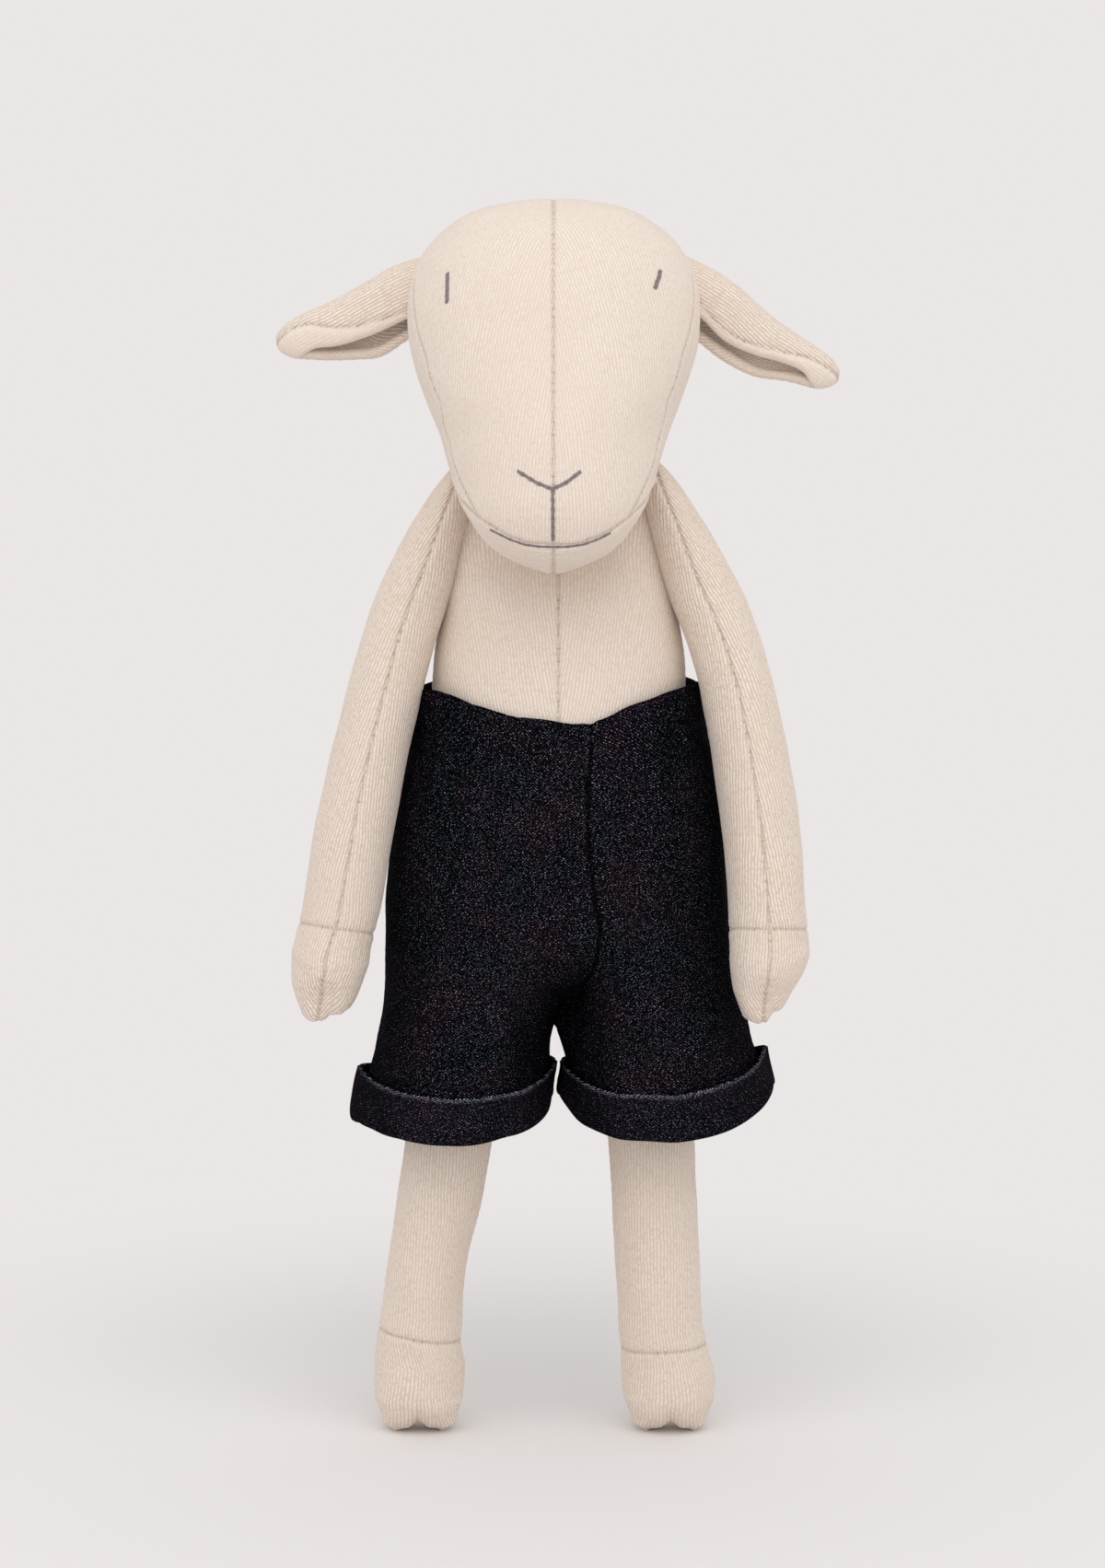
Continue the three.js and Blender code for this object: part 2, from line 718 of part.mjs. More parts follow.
function addEmbroidery() {
  for (const [name, side] of Object.entries(sides)) {
    const { top, bottom, topDegrees, bottomDegrees } = eyeShares[name];
    const eye = steps(0, 1, facets.threadRows).map((t) => [
      mix(top, bottom, t),
      side * mix(topDegrees, bottomDegrees, t),
    ]);
    addPiece(`eye_stitches_${name}`, threadAlong(eye, thread.eyeWidth), threadColor);
    const nose = steps(0, 1, facets.threadRows).map((t) => [
      mix(noseShares.fork, noseShares.wing, t),
      side * mix(noseShares.forkDegrees, noseShares.wingDegrees, t),
    ]);
    addPiece(`nose_stitches_${name}`, threadAlong(nose, thread.noseWidth), threadColor);
  }
  const line = steps(0, 1, facets.threadRows).map((t) => [mix(noseShares.fork, noseShares.lip, t), 0]);
  addPiece("nose_line_stitches", threadAlong(line, thread.noseWidth), threadColor);
  const mouth = steps(-mouthCorner, mouthCorner, 2 * facets.facePanel).map((degrees) => [
    mouthSeam(Math.abs(degrees)),
    degrees,
  ]);
  addPiece("mouth_stitches", threadAlong(mouth, thread.mouthWidth), threadColor);
}

// Ears: an outer layer and a lining, folded round an upright oval that narrows to the tip
function addEar(name, side) {
  const root = new THREE.Vector3(side * ear.rootX, ear.rootBack, head.crownHeight - ear.rootDrop);
  const droop = radians(ear.droopDegrees[name]);
  const point = (v, angle, offset) => {
    const [heightShare, depthShare, bendShare] = tableAt(earShares, v);
    const across = angle * bendShare;
    const halfHeight = (ear.height / 2 - ear.sheetThickness / 2) * heightShare + offset;
    const halfDepth = (ear.depth / 2 - ear.sheetThickness / 2) * depthShare + offset;
    const out = new THREE.Vector3(v * ear.length, halfDepth * Math.cos(across), halfHeight * Math.sin(across));
    out.y -= ear.forward * v;
    out.applyAxisAngle(new THREE.Vector3(0, 1, 0), droop);
    out.x *= side;
    return out.add(root);
  };
  const angles = steps(radians(earEdgeDegrees.upper), radians(earEdgeDegrees.lower), facets.earAcross);
  const rows = steps(0, 1, facets.earRows);
  const grid = (offset) => rows.map((v) => angles.map((a) => point(v, a, offset)));
  const half = ear.sheetThickness / 2;
  const swings = [-ear.swingBackDegrees, 0, ear.swingForwardDegrees / 2, ear.swingForwardDegrees];
  const hinge = new THREE.Vector3(0, 0, side);
  const heads = swings.map((degrees) => turned(headBlock(-ear.rootRelief), hinge, earHinge(side), degrees));
  addPiece(`ear_back_${name}`, cutBy(clothBetween(grid(half), grid(seamGap / 2)), heads));
  addPiece(`ear_lining_${name}`, cutBy(clothBetween(grid(-seamGap / 2), grid(-half)), heads));
}

function earHinge(side) {
  return new THREE.Vector3(side * (ear.rootX + cutOverrun), ear.rootBack, head.crownHeight - ear.rootDrop);
}

// The waist lies on the belly at its lowest place, in front
const bellyShare = torsoGirthAt(shorts.waistHeight - shorts.waistDip)[1];
const waistDepth = torso.thickness * bellyShare + 2 * joinGap;

// A point of the shorts. v runs from waist to hem, and s from the outer side seam to the middle seam, or to the
// inner seam of the leg. Face is -1 in front and 1 behind, and grown moves the cloth outwards.
function shortsPoint(name, v, s, face, grown) {
  const side = sides[name];
  const twist = radians(shorts.twistDegrees) * side * -face;
  const turn = s * (Math.PI / 2 - twist);
  const frontness = face < 0 ? Math.sin(turn) : 0;
  const waist = shorts.waistHeight - shorts.waistDip * frontness ** 2;
  const hem = shorts.hemHeight + shorts.hemRise[name] * (1 - s) ** 3 + shorts.innerHemRise * s ** 3;
  const z = mix(waist, hem, v);
  const [hipShare, hemShare] = tableAt(shortsFlareShares, v);
  const reach = mix(mix(shorts.waistWidth, shorts.hipWidth, hipShare) / 2, shorts.hemReach[name], hemShare);
  const hipDeep = mix(waistDepth, shorts.hipDepth, hipShare);
  const legDeep = mix(shorts.hipDepth, shorts.hemDepth, hemShare);
  const inner = mix(shorts.crotchGap, shorts.legGap, smooth(v, ...legPartShares)) / 2;
  const legWide = (reach - inner) / 2;
  const round = s * Math.PI;
  const onHip = [(reach + grown) * Math.cos(turn), (hipDeep / 2 + grown) * Math.sin(turn)];
  const legMiddle = inner + legWide;
  const onLeg = [legMiddle + (legWide + grown) * Math.cos(round), (legDeep / 2 + grown) * Math.sin(round)];
  const hips = smooth(z, shorts.crotchHeight, shorts.crotchHeight + shorts.crotchDepth);
  const x = mix(onLeg[0], onHip[0], hips);
  const y = mix(onLeg[1], onHip[1], hips);
  return new THREE.Vector3(side * (x + seamGap / 2), face * (y + seamGap / 2), z);
}

function addShorts() {
  const across = steps(0, 1, facets.shortsAcross);
  const rows = steps(0, 1, facets.shortsRows);
  const turnUpTop = 1 - shorts.turnUpHeight / (shorts.waistHeight - shorts.hemHeight);
  const turnUpRows = steps(turnUpTop, 1, facets.turnUpRows);
  for (const name of Object.keys(sides))
    for (const [place, face] of Object.entries({ front: -1, back: 1 })) {
      const cloth = (grown) => rows.map((v) => across.map((s) => shortsPoint(name, v, s, face, grown)));
      addPiece(`shorts_${place}_${name}`, clothBetween(cloth(denimThickness), cloth(0)), denimColor);
      const turnUp = (grown) =>
        turnUpRows.map((v, row) =>
          across.map((s) => {
            const flare = shorts.turnUpFlare * (1 - row / (turnUpRows.length - 1)) * (1 - s);
            return shortsPoint(name, v, s, face, grown + flare);
          }),
        );
      const from = denimThickness + joinGap;
      const made = clothBetween(turnUp(from + shorts.turnUpThickness), turnUp(from));
      addPiece(`turn_up_${place}_${name}`, made, denimColor);
    }
}

addTorso();
addPiece("neck", neckGeometry(0, neck.ballRise, 0));
addHead();
addEmbroidery();
for (const [name, side] of Object.entries(sides)) {
  addArm(name, side);
  addLeg(name, side);
  addEar(name, side);
}
addShorts();

// The origin is on the floor, under the middle of the whole sheep
const bounds = new THREE.Box3().setFromObject(group);
const middle = bounds.getCenter(new THREE.Vector3());
group.position.set(-middle.x, -middle.y, -bounds.min.z);

export default group;
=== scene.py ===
# A stuffed velour sheep in denim shorts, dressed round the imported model.
# Metres, +Z up, the face towards -Y. Left and right are the sheep's own.
import bpy
import bmesh
import math
import numpy as np
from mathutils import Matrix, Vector, noise
from mathutils.bvhtree import BVHTree
from mathutils.kdtree import KDTree


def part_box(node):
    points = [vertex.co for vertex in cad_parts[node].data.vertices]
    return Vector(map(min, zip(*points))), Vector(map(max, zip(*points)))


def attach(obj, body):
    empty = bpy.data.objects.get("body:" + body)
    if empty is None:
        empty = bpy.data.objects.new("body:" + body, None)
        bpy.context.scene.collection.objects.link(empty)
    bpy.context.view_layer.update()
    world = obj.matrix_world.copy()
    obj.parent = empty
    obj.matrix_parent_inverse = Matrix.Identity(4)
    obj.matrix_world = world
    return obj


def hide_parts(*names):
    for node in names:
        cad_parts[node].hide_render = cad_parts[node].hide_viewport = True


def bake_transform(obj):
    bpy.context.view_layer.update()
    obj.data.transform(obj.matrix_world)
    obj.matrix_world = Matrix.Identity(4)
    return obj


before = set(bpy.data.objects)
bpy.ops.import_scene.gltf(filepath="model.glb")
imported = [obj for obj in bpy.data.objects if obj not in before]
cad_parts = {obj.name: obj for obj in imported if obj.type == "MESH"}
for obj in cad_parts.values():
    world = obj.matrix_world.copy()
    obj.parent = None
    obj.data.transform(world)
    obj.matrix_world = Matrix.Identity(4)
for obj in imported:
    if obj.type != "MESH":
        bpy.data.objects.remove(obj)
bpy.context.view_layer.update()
scene = bpy.context.scene
mm = 0.001
sides = {"left": 1, "right": -1}
print("frame loaded,", len(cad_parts), "nodes")


def addObject(name, data):
    obj = bpy.data.objects.new(name, data)
    scene.collection.objects.link(obj)
    return obj


def aimAt(obj, place):
    obj.rotation_euler = (Vector(place) - obj.location).to_track_quat("-Z", "Y").to_euler()


# Camera: in front of the sheep, a little above it and looking slightly down
cameraLook = {"distance": 1.6, "elevation": 8, "lens": 101, "sensor": 36, "aim": (0, 0, 0.245)}
tilt = math.radians(cameraLook["elevation"])
camera = addObject("camera", bpy.data.cameras.new("camera"))
camera.data.lens = cameraLook["lens"]
camera.data.sensor_width = cameraLook["sensor"]
towards = Vector((0, -math.cos(tilt), math.sin(tilt)))
camera.location = Vector(cameraLook["aim"]) + towards * cameraLook["distance"]
aimAt(camera, cameraLook["aim"])
scene.camera = camera


# Colours and nodes
def linear(hexColour):
    channels = [int(hexColour[i : i + 2], 16) / 255 for i in (1, 3, 5)]
    return [c / 12.92 if c <= 0.04045 else ((c + 0.055) / 1.055) ** 2.4 for c in channels] + [1]


# Sets a node's properties and inputs, then links its inputs: i2 is input 2, and a node stands for its first output
def plug(node, settings=None, **links):
    for name, value in (settings or {}).items():
        if isinstance(name, str) and hasattr(node, name):
            setattr(node, name, value)
        else:
            node.inputs[name].default_value = value
    for name, source in links.items():
        index = int(name[1:]) if name[0] == "i" and name[1:].isdigit() else name.replace("_", " ")
        node.id_data.links.new(source.outputs[0] if hasattr(source, "outputs") else source, node.inputs[index])
    return node


def addNode(tree, kind, settings=None, **links):
    return plug(tree.nodes.new("ShaderNode" + kind), settings, **links)


def newMaterial(name):
    material = bpy.data.materials.new(name)
    material.use_nodes = True
    return material, material.node_tree, material.node_tree.nodes["Principled BSDF"]


def setStops(ramp, *stops):
    for element, (position, colour) in zip(ramp.color_ramp.elements, stops):
        element.position, element.color = position, linear(colour)


# Geometry helpers
def alone(obj):
    for other in bpy.context.selected_objects:
        other.select_set(False)
    bpy.context.view_layer.objects.active = obj
    obj.select_set(True)


def objectFrom(bm, name):
    bmesh.ops.recalc_face_normals(bm, faces=bm.faces)
    mesh = bpy.data.meshes.new(name)
    bm.to_mesh(mesh)
    bm.free()
    return addObject(name, mesh)


def coordsOf(mesh):
    coords = np.empty(len(mesh.vertices) * 3)
    mesh.vertices.foreach_get("co", coords)
    return coords.reshape(-1, 3)


def setCoords(mesh, coords):
    mesh.vertices.foreach_set("co", coords.astype(np.float32).ravel())
    mesh.update()


def normalsOf(mesh):
    normals = np.empty(len(mesh.vertices) * 3)
    mesh.vertex_normals.foreach_get("vector", normals)
    return normals.reshape(-1, 3)


def setPointValues(mesh, name, values):
    attribute = mesh.attributes.get(name) or mesh.attributes.new(name, "FLOAT", "POINT")
    attribute.data.foreach_set("value", np.full(len(mesh.vertices), values, np.float32))


def surfaceTree(mesh):
    return BVHTree.FromPolygons([v.co for v in mesh.vertices], [tuple(p.vertices) for p in mesh.polygons])


def pointTree(coords, chosen):
    tree = KDTree(len(chosen))
    for i in chosen:
        tree.insert(coords[i], i)
    tree.balance()
    return tree


def panelsOf(mesh):
    return np.array([value.value for value in mesh.attributes["panel"].data])


# The panel numbers of the faces beside each edge
def panelsBeside(mesh):
    panelOf, beside = panelsOf(mesh), {}
    for polygon in mesh.polygons:
        for key in polygon.edge_keys:
            beside.setdefault(key, []).append(panelOf[polygon.index])
    return beside


# The points on a sheet's open edges
def rimOf(mesh):
    return {i for key, panels in panelsBeside(mesh).items() if len(panels) == 1 for i in key}


# Joins rings of points into a closed skin. placeOf gives a corner's place on the cloth, in millimetres, from its column
# and row and the column of its face.
def joinRings(bm, rings, placeOf):
    layer = bm.loops.layers.uv.get("cloth") or bm.loops.layers.uv.new("cloth")
    for row, (low, high) in enumerate(zip(rings, rings[1:])):
        for k in range(len(low)):
            after = (k + 1) % len(low)
            face = bm.faces.new((low[k], low[after], high[after], high[k]))
            corners = ((k, row), (k + 1, row), (k + 1, row + 1), (k, row + 1))
            for loop, (column, level) in zip(face.loops, corners):
                loop[layer].uv = placeOf(column, level, k)
    bm.faces.new(list(reversed(rings[0])))
    bm.faces.new(rings[-1])


# Sewing: points that are the same, edges too thin to keep, how flat a pair of triangles is that makes a quad, how near
# two panels' edges lie to be drawn together, and how far out a face looks for a piece that covers it
sewing = {"same": 0.02 * mm, "thin": 0.01 * mm, "flat": 60, "reach": 0.45 * mm, "start": 0.05 * mm, "sight": 1.2 * mm}
sewnTogether = (sewing["reach"], lambda co: True)


# The faces of some CAD panels that a test keeps, sewn into one mesh of quads. Each join is a reach and a test of the
# edge points that it draws together. Edges between two panels are seams, and each face keeps its panel's number.
def sewPanels(name, panels, keep, joins):
    bm = bmesh.new()
    panelLayer = bm.faces.layers.int.new("panel")
    for number, panel in enumerate(panels):
        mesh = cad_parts[panel].data
        for triangle in mesh.polygons:
            corners = [mesh.vertices[i].co for i in triangle.vertices]
            if keep(panel, triangle.center, triangle.normal, corners):
                face = bm.faces.new([bm.verts.new(co) for co in corners])
                face[panelLayer] = number
    bmesh.ops.remove_doubles(bm, verts=bm.verts, dist=sewing["same"])
    for reach, chosen in joins:
        edgePoints = [v for v in bm.verts if v.is_boundary and chosen(v.co)]
        bmesh.ops.remove_doubles(bm, verts=edgePoints, dist=reach)
    bmesh.ops.dissolve_degenerate(bm, dist=sewing["thin"], edges=bm.edges)
    for edge in bm.edges:
        edge.seam = len({face[panelLayer] for face in edge.link_faces}) > 1
    flat = math.radians(sewing["flat"])
    bmesh.ops.join_triangles(
        bm, faces=bm.faces, cmp_seam=True, angle_face_threshold=flat, angle_shape_threshold=2 * flat
    )
    return objectFrom(bm, name)


# Closes each hole left in a cover with one many-sided face of its own panel number
def closeHoles(obj, trim):
    bm = bmesh.new()
    bm.from_mesh(obj.data)
    panelLayer = bm.faces.layers.int.get("panel")
    for _ in range(trim):
        rim = {f for v in bm.verts if v.is_boundary for f in v.link_faces}
        bmesh.ops.delete(bm, geom=list(rim), context="FACES")
    before = set(bm.faces)
    bmesh.ops.holes_fill(bm, edges=[e for e in bm.edges if e.is_boundary], sides=0)
    number = max(f[panelLayer] for f in before) + 1
    for face in set(bm.faces) - before:
        face[panelLayer] = number
        for edge in face.edges:
            edge.seam = True
        number += 1
    bmesh.ops.recalc_face_normals(bm, faces=bm.faces)
    bm.to_mesh(obj.data)
    bm.free()


# A filled hole is no seam: only edges between two of the first panels stay seams
def dropFilledSeams(obj, panels):
    beside = panelsBeside(obj.data)
    for edge in obj.data.edges:
        if max(beside.get(edge.key, [0])) >= panels:
            edge.use_seam = False


# Lays every panel out flat in millimetres, as cut from the cloth, its grain upright or leaning by some degrees
def layOut(obj, leans):
    alone(obj)
    bpy.ops.object.mode_set(mode="EDIT")
    bpy.ops.mesh.select_all(action="SELECT")
    bpy.ops.uv.unwrap(method="ANGLE_BASED", margin=0.001)
    bpy.ops.object.mode_set(mode="OBJECT")
    mesh = obj.data
    layer = mesh.uv_layers.active
    layer.name = "cloth"
    flat = np.empty(len(mesh.loops) * 2)
    layer.data.foreach_get("uv", flat)
    flat = flat.reshape(-1, 2)
    coords = coordsOf(mesh)
    corner = np.array([loop.vertex_index for loop in mesh.loops])
    panelOf = panelsOf(mesh)
    for number in np.unique(panelOf):
        loops, slope, round3, round2 = [], np.zeros(2), 0, 0
        for face in np.flatnonzero(panelOf == number):
            polygon = mesh.polygons[face]
            indices = list(polygon.loop_indices)
            loops += indices
            p, q = coords[corner[indices]], flat[indices]
            round3 += np.linalg.norm(p - np.roll(p, 1, 0), axis=1).sum()
            round2 += np.linalg.norm(q - np.roll(q, 1, 0), axis=1).sum()
            for k in range(1, len(indices) - 1):
                across = np.array([q[k] - q[0], q[k + 1] - q[0]])
                climb = np.array([p[k][2] - p[0][2], p[k + 1][2] - p[0][2]])
                area = np.linalg.det(across)
                if abs(area) > 1e-12:
                    slope += np.linalg.solve(across, climb) * abs(area)
        turn = math.atan2(slope[0], slope[1]) + math.radians(leans.get(int(number), 0))
        scale = round3 / round2 / mm
        c, s = math.cos(turn) * scale, math.sin(turn) * scale
        x, y = flat[loops, 0].copy(), flat[loops, 1].copy()
        flat[loops, 0] = x * c - y * s
        flat[loops, 1] = x * s + y * c
    layer.data.foreach_set("uv", flat.astype(np.float32).ravel())


# Catmull-Clark levels. Some rounds of fitting keep the old points where they are on the finer surface.
def refine(obj, levels, rounds=4):
    mesh = obj.data
    wanted = coordsOf(mesh)
    control = wanted.copy()
    modifier = obj.modifiers.new("refine", "SUBSURF")
    modifier.levels = modifier.render_levels = levels
    for _ in range(rounds):
        setCoords(mesh, control)
        evaluated = obj.evaluated_get(bpy.context.evaluated_depsgraph_get())
        control += wanted - coordsOf(evaluated.to_mesh())[: len(wanted)]
        evaluated.to_mesh_clear()
    setCoords(mesh, control)
    alone(obj)
    bpy.ops.object.modifier_apply(modifier=modifier.name)
    print("  refined", obj.name, len(obj.data.vertices), "points")


# Pulls the points round each place, the nearer the more, as a proportional move does. All in millimetres.
def grab(obj, pulls):
    for centre, radius, shift in pulls:
        coords = coordsOf(obj.data)
        away = np.linalg.norm(coords - np.array(centre) * mm, axis=1) / (radius * mm)
        pull = np.clip(1 - away**2, 0, 1) ** 2
        setCoords(obj.data, coords + pull[:, None] * np.array(shift) * mm)


# Gives the low end of a hand or foot its outline. All in millimetres: where the left and right edges are at each
# height, where the middle was and goes, then how far up the underside lies at each place across. The sideways moves
# end at the top, the lift at its own height.
endFit = {"top": 40, "fade": 14, "liftTop": 24, "strip": 0.5, "reach": 0.7, "least": -4, "most": 5}


def shapeEnd(obj, look):
    coords = coordsOf(obj.data) / mm
    low = coords[:, 2].min()
    height = coords[:, 2] - low
    levels = np.arange(endFit["top"] + 1)
    # The tip has few points, so its lowest levels are measured together
    rows = [coords[(height < max(level, 3) + 1) & (height > (level - 2 if level > 6 else -1)), 0] for level in levels]
    nowLeft = np.interp(height, levels, [row.min() for row in rows])
    nowRight = np.interp(height, levels, [row.max() for row in rows])
    left, right = np.interp(height, *zip(*look["left"])), np.interp(height, *zip(*look["right"]))
    before, middle = look["middle"]
    x = coords[:, 0]
    moved = np.where(
        x < before,
        middle + (x - before) * (middle - left) / (before - nowLeft),
        middle + (x - before) * (right - middle) / (nowRight - before),
    )
    coords[:, 0] += (moved - x) * np.clip((endFit["top"] - height) / endFit["fade"], 0, 1)
    strips = np.arange(look["under"][0][0], look["under"][-1][0], endFit["strip"])
    lows = np.array([height[np.abs(coords[:, 0] - strip) < endFit["reach"]].min() for strip in strips])
    lift = np.clip(np.interp(strips, *zip(*look["under"])) - lows, endFit["least"], endFit["most"])
    coords[:, 2] += np.interp(coords[:, 0], strips, lift) * np.clip(1 - height / endFit["liftTop"], 0, 1)
    coords[:, 2] = np.maximum(coords[:, 2], 0)
    setCoords(obj.data, coords * mm)


# Runs a cloth simulation with some points pinned, and gives the old places and the moves, held to the longest allowed
def simulate(obj, pinned, look, **extra):
    before = coordsOf(obj.data)
    obj.vertex_groups.new(name="pinned").add(pinned, 1, "REPLACE")
    cloth = obj.modifiers.new("cloth", "CLOTH")
    for name, value in {**look["cloth"], **extra}.items():
        setattr(cloth.settings, name, value)
    for name, value in look["collision"].items():
        setattr(cloth.collision_settings, name, value)
    cloth.settings.effector_weights.gravity = look["gravity"]
    cloth.settings.vertex_group_mass = "pinned"
    cloth.point_cache.frame_start = 1
    cloth.point_cache.frame_end = look["frames"]
    for frameNumber in range(1, look["frames"] + 1):
        scene.frame_set(frameNumber)
    alone(obj)
    bpy.ops.object.modifier_apply(modifier=cloth.name)
    scene.frame_set(1)
    moved = coordsOf(obj.data) - before
    length = np.linalg.norm(moved, axis=1)
    print("  simulated", obj.name, "moves up to", round(length.max() / mm, 2), "mean", round(length.mean() / mm, 2))
    return before, moved * np.minimum(1, look["longest"] / np.maximum(length, 1e-9))[:, None]


# Filling: pressure swells the panels between their seams, which stay where they are
stuffing = {
    "cloth": {
        "quality": 5, "mass": 0.15, "tension_stiffness": 15, "compression_stiffness": 15, "shear_stiffness": 5,
        "bending_stiffness": 0.5, "use_pressure": True,
    },
    "collision": {"use_collision": False}, "gravity": 0, "frames": 14, "longest": 1.6 * mm, "sole": 1 * mm,
}


def stuff(obj, pressure):
    sewn = {i for edge in obj.data.edges if edge.use_seam for i in edge.vertices}
    standing = np.flatnonzero(coordsOf(obj.data)[:, 2] < stuffing["sole"]).tolist()
    before, moved = simulate(obj, sorted(sewn.union(standing)), stuffing, uniform_pressure_force=pressure)
    setCoords(obj.data, before + moved)
    obj.vertex_groups.clear()


# In millimetres: how far a seam is felt, the size of the filling's lumps, the puckers' drift, spacing and reach, and
# the height below which a sole lies calm. The swollen edge is a share of the groove's depth.
seamLook = {"far": 30, "lump": 14, "swell": 0.3, "drift": 9, "fold": 3.3, "reach": 4, "calm": 4}


# Every point's way to the nearest seam and its place along it, in millimetres
def measureSeams(obj):
    mesh = obj.data
    coords = coordsOf(mesh)
    links = {}
    for edge in mesh.edges:
        if edge.use_seam:
            a, b = edge.vertices
            links.setdefault(a, []).append(b)
            links.setdefault(b, []).append(a)
    along, tangent = {}, {}
    starts = [p for p in links if len(links[p]) != 2] + sorted(links)
    for start in starts:
        for step in links[start]:
            if (start in along and len(links[start]) == 2) or step in along:
                continue
            chain = [start, step]
            while len(links[chain[-1]]) == 2:
                onward = [p for p in links[chain[-1]] if p != chain[-2]][0]
                if onward in along or onward == start:
                    break
                chain.append(onward)
            total = 0
            for i, point in enumerate(chain):
                if i:
                    total += np.linalg.norm(coords[point] - coords[chain[i - 1]])
                along.setdefault(point, total)
                ahead, behind = chain[min(i + 1, len(chain) - 1)], chain[max(i - 1, 0)]
                way = coords[ahead] - coords[behind]
                tangent.setdefault(point, way / max(np.linalg.norm(way), 1e-9))
    seam = sorted(along)
    tree = pointTree(coords, seam)
    away, place = np.empty(len(coords)), np.empty(len(coords))
    for i, co in enumerate(coords):
        _, point, _ = tree.find(co)
        offset = co - coords[point]
        ahead = offset @ tangent[point]
        away[i] = math.sqrt(max(offset @ offset - ahead * ahead, 0)) / mm
        place[i] = (along[point] + ahead) / mm
    setPointValues(mesh, "seamAway", np.minimum(away, seamLook["far"]))
    setPointValues(mesh, "seamPlace", place)
    return away, place


# Seams pull the cloth in, with a swollen edge beside them and small puckers across them
def sinkSeams(obj, depth, width, pucker, lumps, seed, seams=None):
    away, place = seams or measureSeams(obj)
    coords, normals = coordsOf(obj.data), normalsOf(obj.data)
    lump = np.array([noise.noise(Vector(co) / (seamLook["lump"] * mm) + Vector((seed, 0, 0))) for co in coords])
    drift = np.array([noise.noise(Vector((p / seamLook["drift"], seed, 0))) for p in place])
    groove = -depth * np.exp(-((away / width) ** 2))
    shoulder = seamLook["swell"] * depth * np.exp(-(((away - 3 * width) / (1.6 * width)) ** 2))
    fold = np.sin(2 * math.pi * (place / seamLook["fold"] + 0.5 * drift))
    gather = pucker * fold * np.exp(-away / seamLook["reach"]) * np.clip(away / width, 0, 1)
    calm = np.clip(coords[:, 2] / (seamLook["calm"] * mm), 0, 1)
    offset = (groove + shoulder + gather + lumps * lump) * calm * mm
    setCoords(obj.data, coords + normals * offset[:, None])


# Ribbed velour, knitted cotton with a short pile: fine pale wales of small loops along the grain, a soft bright edge
velourLook = {
    "wale": 1.25, "loop": 1.7, "sway": 0.9, "jitter": 0.3, "nap": 0.3, "seamDip": 0.45,
    "crest": "#f2e7dd", "valley": "#cdb6a0", "brushed": "#ecdfd3", "worn": "#e3d2c2", "paintedSeamShade": "#8f7c6a",
    "surface": {
        "Roughness": 0.95, "Specular IOR Level": 0.1, "Sheen Weight": 0.5, "Sheen Roughness": 0.4,
        "Sheen Tint": linear("#fff6ef"),
    },
}


